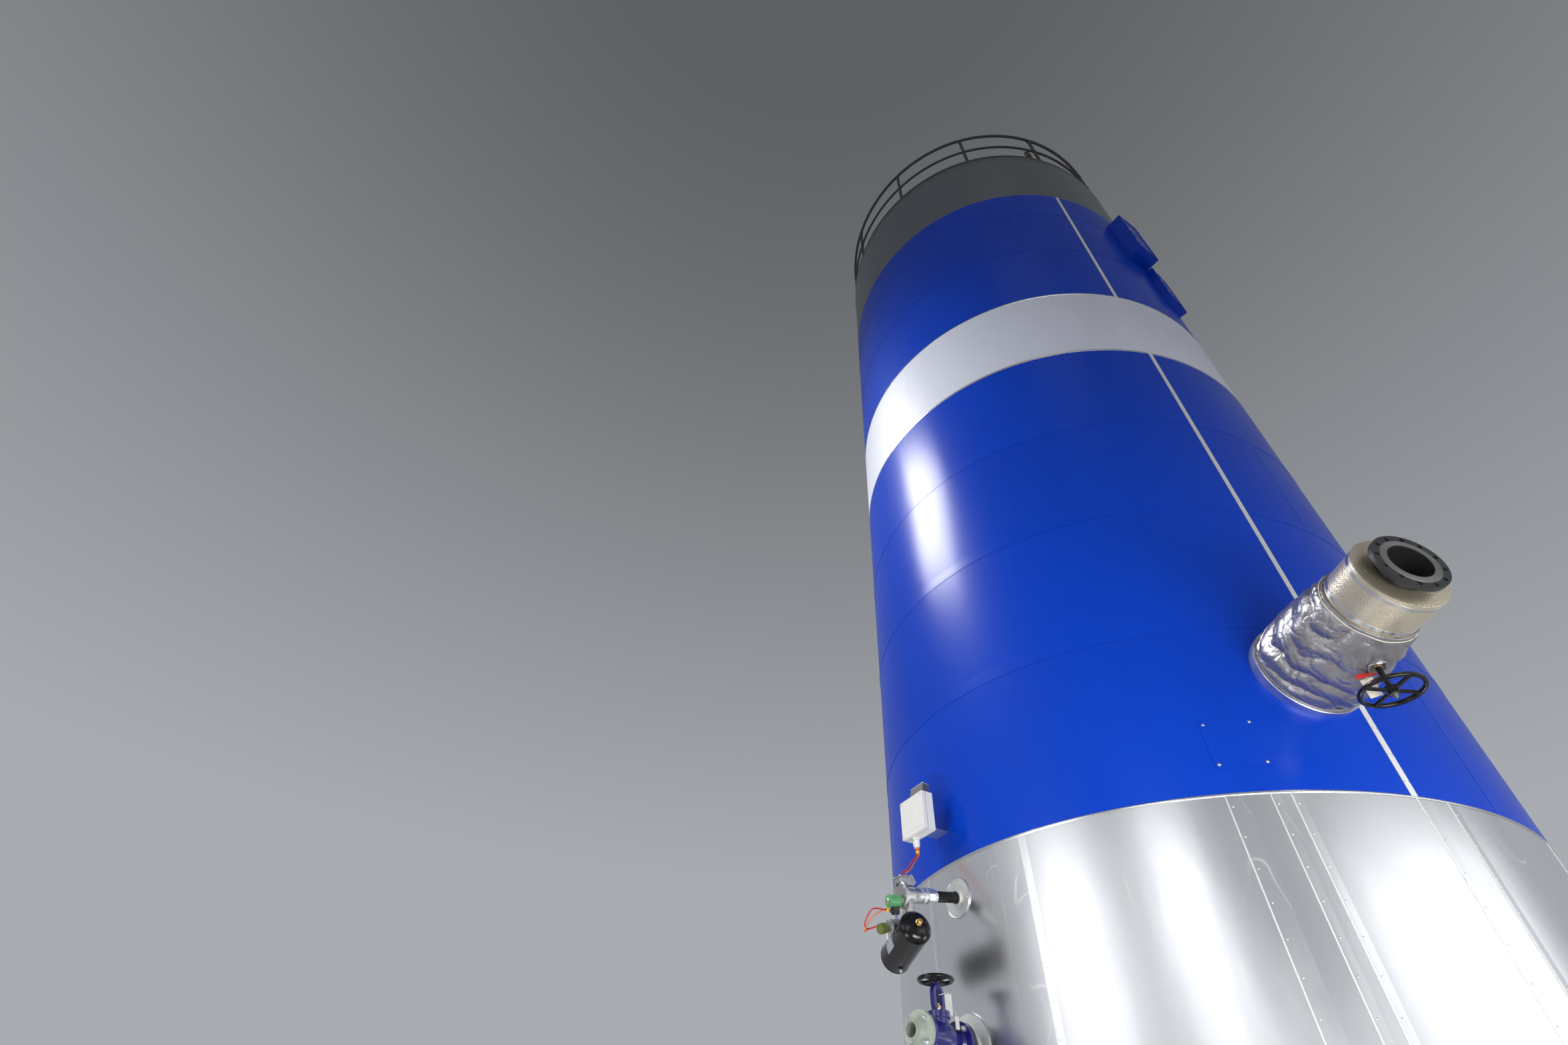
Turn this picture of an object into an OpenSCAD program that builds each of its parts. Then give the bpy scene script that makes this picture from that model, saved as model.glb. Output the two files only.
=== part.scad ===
// Industrial boiler: an upright pressure shell on a bolted skirt, lagged and clad in sheet,
// with a railed roof, a shut-off valve in a quilted jacket, a drain valve and a pulse cleaner.
// Millimetres. Z is the vessel's axis, z = 0 is the floor.
// Angles run counterclockwise from +X seen from above; the front is at -90.

/* [Shell] */
// Outer radius of the pressure shell and its skirt
shell_r = 1850; // [1700:10:1900]
// Wall of the pressure shell
shell_t = 20; // [12:1:40]
// Height of the bottom plate above the floor
bottom_z = 700; // [500:10:900]
// Thickness of the bottom plate
bottom_t = 25; // [15:1:40]

/* [Base] */
// How far the base ring stands out from the shell
base_out = 135; // [110:5:150]
// How far the base ring reaches in under the shell
base_in = 150; // [70:10:300]
// Thickness of the base ring
base_t = 30; // [20:1:50]
// Number of anchor bolts
anchors = 12; // [8:1:16]
// Distance from the shell to the anchor bolts
anchor_out = 75; // [65:1:85]
// Radius of an anchor bolt hole
anchor_hole_r = 18; // [14:1:22]
// Height of the anchor chairs above the base ring
chair_h = 190; // [120:5:220]
// Width of an anchor chair between its gussets
chair_w = 110; // [80:2:150]
// Plate thickness of the chairs
chair_t = 14; // [8:1:20]

/* [Cladding] */
// Thickness of the lagging with its sheet
lagging_t = 150; // [140:5:250]
// Height of the lower edge of the cladding
clad_z = 260; // [255:5:400]
// Height of the joint between bare and blue sheet
blue_z = 3250; // [3200:10:3300]
// Height of the lower edge of the white band
band_z = 7400; // [6500:10:7800]
// Height of the white band
band_h = 1065; // [600:5:1400]
// Height of the top edge of the blue sheet
blue_top_z = 11100; // [10950:10:11300]
// Height of the roof
roof_z = 12482; // [12000:1:13000]
// Step where one sheet laps over the next
lap = 3; // [1:0.5:5]
// Width of the vertical cover strips
strip_w = 36; // [20:1:60]
// Thickness of the cover strips
strip_t = 3; // [2:0.5:6]
// Angle of the cover strip that faces the front
strip_angle = -53.5; // [-60:0.5:-45]
// Number of cover strips round the vessel
strips = 3; // [1:1:4]
// Thickness of the plates that close the cladding round the small pipes
rosette_t = 4; // [2:0.5:6]
// Side of the screwed cover plate
plate_side = 274; // [200:2:320]
// Angle of the screwed cover plate
plate_angle = -75.7; // [-80:0.1:-72]
// Height of the middle of the screwed cover plate
plate_z = 3521; // [3450:1:3700]

/* [Roof and railing] */
// Thickness of the roof plate
roof_t = 10; // [6:1:20]
// Height of the toe ring
toe_h = 100; // [60:5:150]
// Thickness of the toe ring
toe_t = 8; // [4:1:12]
// Height of the top rail above the roof, to its centre line
rail_h = 1040; // [900:10:1200]
// Height of the middle rail above the roof, to its centre line
mid_rail_h = 545; // [400:5:650]
// Radius of the top rail tube and of the posts
rail_tube_r = 21; // [17:0.5:25]
// Radius of the middle rail tube
mid_tube_r = 17; // [12:0.5:21]
// Number of posts
posts = 12; // [8:1:16]
// Angle of one of the posts
post_angle = -109.5; // [-120:0.5:-90]
// Angle of the safety valve on the roof
safety_angle = -45; // [-60:1:-40]
// Angle of the vent valve on the roof
vent_angle = -34; // [-38:1:-20]
// Distance from the cladding in to both roof valves
roof_valve_in = 240; // [200:5:300]
// Radius of the safety valve's pipe
safety_pipe_r = 38; // [30:1:44]
// Radius of the vent valve's pipe
vent_pipe_r = 26; // [20:1:36]
// Height of the safety valve above the roof
safety_h = 1250; // [900:10:1400]
// Height of the vent valve above the roof
vent_h = 1020; // [800:10:1200]

/* [Side boxes] */
// Angle of the upper side box
upper_box_angle = -30.5; // [-34:0.5:-28]
// Angle of the lower side box
lower_box_angle = -24; // [-26:0.5:-20]
// Width of a side box
side_box_w = 300; // [200:5:400]
// Depth of the upper side box in front of the cladding
upper_box_d = 160; // [80:5:250]
// Depth of the lower side box in front of the cladding
lower_box_d = 70; // [40:5:150]
// Height of the lower edge of the upper side box
upper_box_z = 9870; // [9860:10:9900]
// Height of the upper side box
upper_box_h = 900; // [600:10:1000]
// Height of the lower edge of the lower side box
lower_box_z = 9060; // [8950:10:9080]
// Height of the lower side box
lower_box_h = 700; // [500:10:760]

/* [Outlet] */
// Angle of the outlet on the vessel
outlet_angle = -60.2; // [-63:0.1:-58]
// Height of the outlet's centre line
outlet_z = 3952; // [3900:1:4100]
// Outer radius of the outlet pipe
outlet_pipe_r = 109.5; // [100:0.5:115]
// Wall of the outlet pipe
outlet_wall = 8; // [5:0.5:12]
// Outer radius of the outlet flanges
outlet_flange_r = 170; // [165:1:172]
// Thickness of the outlet flanges
outlet_flange_t = 24; // [18:1:30]
// Radius of the outlet bolt circle
outlet_circle_r = 147.5; // [140:0.5:150]
// Number of outlet bolts
outlet_bolts = 12; // [8:4:12]
// Radius of a bolt hole in the flanges under the jacket
outlet_hole_r = 10.5; // [9:0.5:10.5]
// Radius of a bolt hole in the end flange
end_hole_r = 11; // [11:0.5:12]
// Distance from the cladding to the valve's spindle
outlet_spindle_x = 440; // [430:1:460]
// Length of the outlet valve from face to face
outlet_valve_l = 230; // [200:2:250]
// Radius of the collar where the outlet leaves the cladding
collar_r = 284; // [276:1:300]
// Depth of the collar in front of the cladding
collar_d = 42; // [30:1:60]
// Radius of the jacket at its fullest
jacket_r = 286; // [280:1:300]
// Radius of the jacket where it is drawn in on the pipe
jacket_end_r = 224; // [220:1:235]
// Length of the jacket
jacket_l = 570; // [560:1:580]
// Radius of the clad pipe behind the jacket
lagging_r = 215; // [205:1:218]
// Length of the clad pipe
lagging_l = 250; // [150:5:400]
// Free pipe between the lagging and the end flange
outlet_neck_l = 60; // [40:2:120]
// Distance from the outlet's centre line down to the handwheel
outlet_wheel_drop = 401; // [380:1:450]
// Radius of the outlet handwheel
outlet_wheel_r = 150; // [120:2:180]
// Radius of the outlet spindle
outlet_spindle_r = 13; // [10:0.5:16]

/* [Drain] */
// Angle of the drain on the vessel
drain_angle = -126.1; // [-128:0.1:-124]
// Height of the drain's centre line
drain_z = 2329; // [2300:1:2400]
// Turn of the drain nozzle from square to the shell
drain_yaw = 13; // [0:0.5:15]
// Outer radius of the drain pipe
drain_pipe_r = 38; // [30:0.5:40]
// Wall of the drain pipe
drain_wall = 4; // [3:0.2:6]
// Outer radius of the drain flanges
drain_flange_r = 92.5; // [90:0.5:95]
// Thickness of the drain flanges
drain_flange_t = 20; // [16:1:22]
// Radius of the drain bolt circle
drain_circle_r = 72.5; // [71:0.5:76]
// Radius of a drain bolt hole
drain_hole_r = 9.5; // [8:0.5:10]
// Distance from the cladding to the drain valve's inner face
drain_face_x = 108; // [90:1:120]
// Length of the drain valve from face to face
drain_valve_l = 290; // [270:5:300]
// Distance from the drain's centre line to the handwheel
drain_wheel_h = 254; // [245:1:280]
// Radius of the drain handwheel
drain_wheel_r = 96; // [85:1:105]
// Radius of the drain spindle
drain_spindle_r = 7; // [5:0.5:8]
// Radius of the drain rosette
drain_rosette_r = 153; // [140:1:160]
// Sideways place of the drain rosette from the drain nozzle
drain_rosette_shift = -31; // [-40:1:0]

/* [Pulse cleaner] */
// Angle of the cleaning nozzle on the vessel
clean_angle = -125.7; // [-128:0.1:-124]
// Height of the cleaning nozzle's centre line at the cladding
clean_z = 3049; // [3040:1:3100]
// Fall of the cleaning nozzle away from the shell
clean_slope = 9; // [5:0.5:10]
// Radius of the cleaning nozzle's rosette
clean_rosette_r = 106; // [80:1:120]
// Outer radius of the cleaning nipple
nipple_r = 30; // [24:0.5:34]
// Wall of the cleaning nipple
nipple_wall = 4; // [3:0.5:6]
// Length of the nipple in front of the cladding
nipple_l = 167; // [150:1:190]
// Length of the union
union_l = 118; // [110:1:130]
// Radius of the union's nut
union_r = 45; // [42:0.5:50]
// Distance from the union to the middle of the pulse valve
pulse_valve_l = 78; // [74:1:90]
// Radius of the pulse valve's body
pulse_body_r = 48; // [44:1:50]
// Radius of the pulse valve's bonnet
bonnet_r = 70; // [60:1:76]
// Height of the boss on the pulse valve
pulse_boss_h = 72; // [68:1:80]
// Radius of the solenoid's coil
coil_r = 32; // [26:1:36]
// Length of the solenoid's coil
coil_l = 66; // [50:1:70]
// Drop of the solenoid below the middle of the pulse valve
coil_drop = 35; // [30:1:40]
// Radius of the feed valve
feed_r = 34; // [30:1:36]
// Length of the feed valve
feed_l = 70; // [60:1:80]
// Radius of the air receiver
receiver_r = 85; // [75:1:90]
// Length of the air receiver
receiver_l = 470; // [460:5:480]
// Tilt of the air receiver from level
receiver_tilt = 6; // [4:1:8]
// Turn of the air receiver away from the wall
receiver_turn = 17.5; // [15:0.5:20]
// Distance from the cladding to the middle of the air receiver
receiver_x = 300; // [296:1:304]
// Sideways place of the receiver's middle from the cleaning nozzle
receiver_side_shift = -131; // [-135:1:-127]
// Drop from the cleaning nozzle to the middle of the air receiver
receiver_drop = 259; // [257:1:263]

/* [Junction box] */
// Side of the junction box
jbox_side = 235; // [200:1:260]
// Depth of the junction box
jbox_d = 80; // [60:1:100]
// Gap between the cladding and the junction box
jbox_gap = 140; // [120:1:160]
// Sideways place of the box's middle from the cleaning nozzle
jbox_side_shift = -72; // [-100:1:-40]
// Height of the box's lower edge above the cleaning nozzle
jbox_rise = 346; // [330:1:380]
// Sideways place of the cable gland from the cleaning nozzle
gland_side_shift = -110; // [-130:1:-60]
// Radius of the cable gland
gland_r = 20; // [14:0.5:24]
// Length of the cable gland
gland_l = 62; // [40:1:70]
// Height of the connector hood on the box
hood_h = 100; // [60:1:120]
// Width of the connector hood on the box
hood_w = 130; // [80:1:150]
// Radius of the wire loom
loom_r = 7; // [5:0.5:9]

/* [Hidden] */
$fn = 96;
ring_fn = 360;
// Clearance between pieces that seat on each other
seat = 0.3;
// Clearance that lets a cut run past a face
past = 1;

blue = [0.02, 0.12, 0.62];
bare_metal = [0.72, 0.73, 0.74];
white_paint = [0.86, 0.86, 0.88];
black_paint = [0.04, 0.04, 0.045];
cast_metal = [0.6, 0.6, 0.58];
valve_blue = [0.08, 0.08, 0.45];

clad_r = shell_r + lagging_t;
clad_in_r = shell_r + seat;
bare_r = clad_r - lap;
band_top_z = band_z + band_h;
casing_top_z = roof_z - roof_t;
toe_r = clad_r - 4;
rail_r = toe_r - toe_t - rail_tube_r - seat;
post_step = 360 / posts;
base_r = shell_r + base_out;
anchor_circle_r = shell_r + anchor_out;
passage_in = lagging_t + shell_t + 40;
passage_out = 30;

// Carries its children to a place on the cladding: X points out of the vessel, Y runs round it.
module on_wall(angle, z) {
    rotate([0, 0, angle]) translate([clad_r, 0, z]) children();
}

// The drain's place: X runs along its nozzle, Z is upright.
module on_drain() {
    on_wall(drain_angle, drain_z) rotate([0, 0, drain_yaw]) children();
}

// The cleaning nozzle's place: X runs along the nozzle, which falls away from the shell.
module on_nipple() {
    on_wall(clean_angle, clean_z) rotate([0, clean_slope, 0]) children();
}

// Turns its children so that their Z axis points out of the vessel along local X.
module outward(x = 0) {
    translate([x, 0, 0]) rotate([0, 90, 0]) children();
}

// A band round the vessel between two radii and two heights.
module band(r_in, r_out, z_low, z_high) {
    rotate_extrude($fn = ring_fn)
        translate([r_in, z_low]) square([r_out - r_in, z_high - z_low]);
}

// A stretch of such a band, centred on an angle.
module arc_band(angle, width, r_in, r_out, z_low, z_high) {
    sweep_angle = width / r_out * 180 / PI;
    rotate([0, 0, angle - sweep_angle / 2])
        rotate_extrude(angle = sweep_angle, $fn = ring_fn)
            translate([r_in, z_low]) square([r_out - r_in, z_high - z_low]);
}

// Holes on a circle round Z.
module hole_circle(count, circle_r, hole_r, z_low, z_high) {
    for (i = [0 : count - 1])
        rotate([0, 0, (i + 0.5) * 360 / count])
            translate([circle_r, 0, z_low]) cylinder(r = hole_r, h = z_high - z_low, $fn = 32);
}

// A pipe flange with its face at z = 0 and its back at z = thickness.
module flange(outer_r, bore_r, thickness, count, circle_r, hole_r) {
    difference() {
        cylinder(r = outer_r, h = thickness);
        translate([0, 0, -past]) cylinder(r = bore_r, h = thickness + 2 * past);
        hole_circle(count, circle_r, hole_r, -past, thickness + past);
    }
}

module tube(outer_r, wall, z_low, z_high) {
    difference() {
        translate([0, 0, z_low]) cylinder(r = outer_r, h = z_high - z_low);
        translate([0, 0, z_low - past]) cylinder(r = outer_r - wall, h = z_high - z_low + 2 * past);
    }
}

// The pipes' passages through the shell and the cladding, with their clearance.
module pipe_passages() {
    on_wall(outlet_angle, outlet_z) passage(outlet_pipe_r);
    on_drain() passage(drain_pipe_r);
    on_nipple() passage(nipple_r);
}

module passage(pipe_r) {
    outward(-passage_in) cylinder(r = pipe_r + seat, h = passage_in + passage_out);
}

// Base and shell

module base_ring() {
    color(black_paint) difference() {
        band(shell_r - base_in, base_r, 0, base_t);
        for (i = [0 : anchors - 1])
            rotate([0, 0, (i + 0.5) * 360 / anchors]) translate([anchor_circle_r, 0, -past])
                cylinder(r = anchor_hole_r, h = base_t + 2 * past, $fn = 32);
    }
}

module anchor_chair() {
    gusset_l = base_out - 10;
    difference() {
        translate([shell_r - past, 0, 0]) {
            for (side = [-1, 1])
                translate([0, side * (chair_w + chair_t) / 2, base_t + seat])
                    rotate([90, 0, 0]) translate([0, 0, -chair_t / 2])
                        linear_extrude(chair_t)
                            polygon([[0, 0], [gusset_l, 0], [gusset_l, 30],
                                [gusset_l * 0.62, chair_h - chair_t], [0, chair_h - chair_t]]);
            translate([0, -chair_w / 2 - chair_t, base_t + seat + chair_h - chair_t])
                cube([gusset_l, chair_w + 2 * chair_t, chair_t]);
        }
        cylinder(r = shell_r + seat, h = clad_z, $fn = ring_fn);
        translate([anchor_circle_r, 0, base_t + chair_h / 2])
            cylinder(r = anchor_hole_r, h = chair_h, $fn = 32);
    }
}

module anchor_chairs() {
    color(black_paint)
        for (i = [0 : anchors - 1]) rotate([0, 0, (i + 0.5) * 360 / anchors]) anchor_chair();
}

module pressure_shell() {
    color(black_paint) difference() {
        band(shell_r - shell_t, shell_r, base_t, casing_top_z);
        pipe_passages();
    }
}

module bottom_plate() {
    color(black_paint) translate([0, 0, bottom_z])
        cylinder(r = shell_r - shell_t - seat, h = bottom_t, $fn = ring_fn);
}

// Cladding

module bare_cladding() {
    color(bare_metal) difference() {
        band(clad_in_r, bare_r, clad_z, blue_z);
        pipe_passages();
    }
}

module blue_cladding_lower() {
    color(blue) difference() {
        band(clad_in_r, clad_r, blue_z, band_z);
        pipe_passages();
    }
}

module white_band() {
    color(white_paint) band(clad_in_r, clad_r, band_z, band_top_z);
}

module blue_cladding_upper() {
    color(blue) band(clad_in_r, clad_r, band_top_z, blue_top_z);
}

module top_casing() {
    color(bare_metal) band(clad_in_r, bare_r, blue_top_z, casing_top_z);
}

module cover_strips(z_low, z_high) {
    color(bare_metal)
        for (i = [0 : strips - 1])
            arc_band(strip_angle + i * 360 / strips, strip_w, clad_r + seat,
                clad_r + seat + strip_t, z_low, z_high);
}

module cover_strips_lower() {
    difference() {
        cover_strips(blue_z, band_z);
        on_wall(outlet_angle, outlet_z) outward(-collar_d)
            cylinder(r = collar_r + seat, h = 3 * collar_d);
    }
}

module cover_strips_upper() { cover_strips(band_top_z, blue_top_z); }

module screwed_plate() {
    color(blue)
        arc_band(plate_angle, plate_side, clad_r + seat, clad_r + seat + strip_t,
            plate_z - plate_side / 2, plate_z + plate_side / 2);
}

module side_box(angle, z_low, height, depth) {
    color(blue) difference() {
        rotate([0, 0, angle]) translate([shell_r, -side_box_w / 2, z_low])
            cube([clad_r + depth - shell_r, side_box_w, height]);
        translate([0, 0, z_low - past])
            cylinder(r = clad_r + seat, h = height + 2 * past, $fn = ring_fn);
    }
}

module upper_side_box() { side_box(upper_box_angle, upper_box_z, upper_box_h, upper_box_d); }

module lower_side_box() { side_box(lower_box_angle, lower_box_z, lower_box_h, lower_box_d); }

// Roof and railing

module roof_plate() {
    color(bare_metal) translate([0, 0, casing_top_z])
        cylinder(r = toe_r, h = roof_t, $fn = ring_fn);
}

module toe_ring() {
    color(black_paint)
        for (i = [0 : posts - 1])
            arc_band(post_angle + (i + 0.5) * post_step, toe_r * post_step * PI / 180 - 1,
                toe_r - toe_t, toe_r, roof_z + seat, roof_z + toe_h);
}

module rail_ring(height, tube_r) {
    rotate_extrude($fn = ring_fn) translate([rail_r, roof_z + height]) circle(r = tube_r, $fn = 32);
}

module post_tubes(extra = 0) {
    for (i = [0 : posts - 1])
        rotate([0, 0, post_angle + i * post_step]) translate([rail_r, 0, roof_z + seat])
            cylinder(r = rail_tube_r + extra, h = rail_h - rail_tube_r - 2 * seat, $fn = 32);
}

module rail_posts() {
    color(black_paint) post_tubes();
}

module mid_rail() {
    color(black_paint) difference() {
        rail_ring(mid_rail_h, mid_tube_r);
        post_tubes(seat);
    }
}

module top_rail() {
    color(black_paint) rail_ring(rail_h, rail_tube_r);
}

// A pipe with a flange, a body and a cap, standing on the roof.
module roof_valve(height, pipe_r) {
    flange_r = pipe_r * 2;
    flange_t = pipe_r * 0.6;
    color(black_paint) {
        cylinder(r = flange_r, h = flange_t);
        cylinder(r = pipe_r, h = height * 0.55);
        translate([0, 0, height * 0.4]) cylinder(r = flange_r, h = 1.5 * flange_t);
        translate([0, 0, height * 0.55]) sphere(r = pipe_r * 1.6);
        translate([0, 0, height * 0.55]) cylinder(r1 = pipe_r * 1.3, r2 = pipe_r * 0.8, h = height * 0.35);
        translate([0, 0, height * 0.9]) cylinder(r = pipe_r, h = height * 0.1);
        translate([0, 0, height * 0.55]) rotate([90, 0, 0]) cylinder(r = pipe_r, h = pipe_r * 3);
        translate([0, -pipe_r * 3, height * 0.55]) rotate([90, 0, 0])
            cylinder(r = flange_r, h = flange_t);
    }
}

module safety_valve() {
    rotate([0, 0, safety_angle]) translate([clad_r - roof_valve_in, 0, roof_z])
        roof_valve(safety_h, safety_pipe_r);
}

module vent_valve() {
    rotate([0, 0, vent_angle]) translate([clad_r - roof_valve_in, 0, roof_z])
        roof_valve(vent_h, vent_pipe_r);
}

// Outlet

outlet_face_in = outlet_spindle_x - outlet_valve_l / 2;
outlet_face_out = outlet_spindle_x + outlet_valve_l / 2;
stub_back_x = outlet_face_out + outlet_flange_t;
lagging_x = collar_d + seat + jacket_l - 20;
stub_end_x = lagging_x + lagging_l + outlet_neck_l + outlet_flange_t;
outlet_bore_r = outlet_pipe_r - outlet_wall;
outlet_bonnet_drop = outlet_pipe_r + 80;

module nozzle_collar() {
    back = collar_r * collar_r / clad_r;
    color(bare_metal) difference() {
        on_wall(outlet_angle, outlet_z) outward(-back) difference() {
            cylinder(r = collar_r, h = back + collar_d);
            translate([0, 0, -past])
                cylinder(r = outlet_pipe_r + seat, h = back + collar_d + 2 * past);
        }
        translate([0, 0, outlet_z - collar_r - past])
            cylinder(r = clad_r + seat, h = 2 * (collar_r + past), $fn = ring_fn);
    }
}

module outlet_nozzle() {
    color(black_paint) on_wall(outlet_angle, outlet_z) {
        outward() {
            tube(outlet_pipe_r, outlet_wall, shell_r - shell_t - clad_r, outlet_face_in - outlet_flange_t);
            translate([0, 0, outlet_face_in - outlet_flange_t])
                flange(outlet_flange_r, outlet_bore_r, outlet_flange_t, outlet_bolts,
                    outlet_circle_r, outlet_hole_r);
        }
    }
}

module outlet_valve() {
    body_l = outlet_valve_l - 2 * outlet_flange_t;
    gland_drop = outlet_wheel_drop - 150;
    color(valve_blue) on_wall(outlet_angle, outlet_z) difference() {
        union() {
            outward(outlet_face_in)
                flange(outlet_flange_r, outlet_bore_r, outlet_flange_t, outlet_bolts,
                    outlet_circle_r, outlet_hole_r);
            outward(outlet_face_out - outlet_flange_t)
                flange(outlet_flange_r, outlet_bore_r, outlet_flange_t, outlet_bolts,
                    outlet_circle_r, outlet_hole_r);
            outward(outlet_face_in + outlet_flange_t) cylinder(r = outlet_pipe_r + 16, h = body_l);
            translate([outlet_spindle_x, 0, -outlet_bonnet_drop]) cylinder(r = 80, h = 100);
            translate([outlet_spindle_x, 0, -gland_drop]) cylinder(r = 36, h = gland_drop - outlet_pipe_r);
        }
        outward(outlet_face_in - past) cylinder(r = outlet_bore_r, h = outlet_valve_l + 2 * past);
        translate([outlet_spindle_x, 0, -gland_drop - past])
            cylinder(r = outlet_spindle_r + seat, h = gland_drop - outlet_pipe_r);
    }
}

// A handwheel in the XY plane: round rim, dished spokes and a hub.
module handwheel(wheel_r, rim_r, hub_r, hub_h, spokes) {
    rotate_extrude() translate([wheel_r - rim_r, 0]) circle(r = rim_r, $fn = 32);
    translate([0, 0, -hub_h / 2]) cylinder(r = hub_r, h = hub_h);
    for (i = [0 : spokes - 1])
        rotate([0, 0, i * 360 / spokes]) translate([hub_r * 0.6, 0, 0])
            rotate([0, 90, 0])
                cylinder(r = rim_r * 0.8, h = wheel_r - rim_r - hub_r * 0.6, $fn = 32);
}

module outlet_handwheel() {
    color(black_paint) on_wall(outlet_angle, outlet_z)
        translate([outlet_spindle_x, 0, -outlet_wheel_drop]) {
            handwheel(outlet_wheel_r, 12, 27, 40, 4);
            cylinder(r = outlet_spindle_r, h = outlet_wheel_drop - outlet_pipe_r - 4);
        }
}

// The jacket's outline: share of its length, share of the way from its fullest to its drawn-in radius.
jacket_profile = [[0, 0.35], [0.02, 0.08], [0.14, 0], [0.35, 0.1], [0.58, 0.26], [0.79, 0.42],
    [0.93, 0.65], [1, 1]];

module valve_jacket() {
    inner_r = outlet_flange_r + 5;
    end_x = collar_d + seat + jacket_l;
    color([0.7, 0.7, 0.7]) on_wall(outlet_angle, outlet_z) difference() {
        outward() rotate_extrude() polygon(concat(
            [for (p = jacket_profile) [jacket_r - p[1] * (jacket_r - jacket_end_r),
                collar_d + seat + p[0] * jacket_l]],
            [[lagging_r + seat, end_x], [lagging_r + seat, lagging_x - seat],
                [inner_r, lagging_x - seat], [inner_r, collar_d + seat]]));
        translate([outlet_spindle_x, 0, -outlet_bonnet_drop - 5])
            cylinder(r = 86, h = outlet_bonnet_drop);
        translate([outlet_spindle_x, 0, -outlet_wheel_drop]) cylinder(r = 42, h = outlet_wheel_drop);
    }
}

module outlet_lagging() {
    color([0.75, 0.72, 0.62]) on_wall(outlet_angle, outlet_z) outward(lagging_x) difference() {
        cylinder(r = lagging_r, h = lagging_l);
        translate([0, 0, -past]) cylinder(r = outlet_pipe_r + seat, h = lagging_l + 2 * past);
    }
}

module outlet_stub() {
    color(black_paint) on_wall(outlet_angle, outlet_z) {
        outward(outlet_face_out)
            flange(outlet_flange_r, outlet_bore_r, outlet_flange_t, outlet_bolts,
                outlet_circle_r, outlet_hole_r);
        outward() tube(outlet_pipe_r, outlet_wall, stub_back_x, stub_end_x - outlet_flange_t);
        outward(stub_end_x - outlet_flange_t)
            flange(outlet_flange_r, outlet_bore_r, outlet_flange_t, outlet_bolts,
                outlet_circle_r, end_hole_r);
    }
}

// Drain

drain_bore_r = drain_pipe_r - drain_wall;
drain_mid_x = drain_face_x + drain_valve_l / 2;
drain_out_x = drain_face_x + drain_valve_l;
drain_body_r = 72;
drain_bonnet_r = 56;
drain_bonnet_z = 96;

// A plate bent to the bare sheet.
module rosette_plate(angle, z, outer_r) {
    plate_r = bare_r + seat;
    intersection() {
        band(plate_r, plate_r + rosette_t, z - outer_r - past, z + outer_r + past);
        on_wall(angle, z) outward(-outer_r) cylinder(r = outer_r, h = 2 * outer_r);
    }
}

module drain_flange() {
    flange(drain_flange_r, drain_bore_r, drain_flange_t, 4, drain_circle_r, drain_hole_r);
}

module drain_rosette() {
    collar_r = drain_pipe_r + 12;
    shift_angle = drain_rosette_shift / clad_r * 180 / PI;
    color(bare_metal) difference() {
        union() {
            rosette_plate(drain_angle + shift_angle, drain_z, drain_rosette_r);
            difference() {
                on_drain() outward(-collar_r) cylinder(r = collar_r, h = collar_r + 22);
                translate([0, 0, drain_z - collar_r - past])
                    cylinder(r = bare_r + seat, h = 2 * (collar_r + past), $fn = ring_fn);
            }
        }
        on_drain() passage(drain_pipe_r);
    }
}

module drain_nozzle() {
    back_x = drain_face_x - drain_flange_t - seat;
    color(black_paint) on_drain() {
        outward() tube(drain_pipe_r, drain_wall, -lagging_t - shell_t, back_x);
        outward(back_x) drain_flange();
    }
}

// The drain valve: two flanges, a waisted body round the seat, and the bonnet under the yoke.
module drain_valve() {
    throat_r = drain_pipe_r + 9;
    body_l = drain_valve_l - 2 * drain_flange_t;
    color(valve_blue) on_drain() difference() {
        union() {
            outward(drain_face_x) drain_flange();
            outward(drain_out_x - drain_flange_t) drain_flange();
            outward(drain_face_x + drain_flange_t) rotate_extrude() polygon([
                [0, 0], [throat_r + 12, 0], [throat_r, 14], [throat_r + 2, body_l * 0.18],
                [drain_body_r - 4, body_l * 0.34], [drain_body_r, body_l * 0.5],
                [drain_body_r - 4, body_l * 0.66], [throat_r + 2, body_l * 0.82],
                [throat_r, body_l - 14], [throat_r + 12, body_l], [0, body_l]]);
            translate([drain_mid_x, 0, 0]) cylinder(r = drain_bonnet_r - 8, h = drain_bonnet_z - 14);
            translate([drain_mid_x, 0, drain_bonnet_z - 15])
                cylinder(r = drain_bonnet_r, h = 15);
        }
        outward(drain_face_x - past) cylinder(r = drain_bore_r, h = drain_valve_l + 2 * past);
        translate([drain_mid_x, 0, 0]) cylinder(r = drain_spindle_r + seat, h = 2 * drain_bonnet_z);
    }
}

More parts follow.
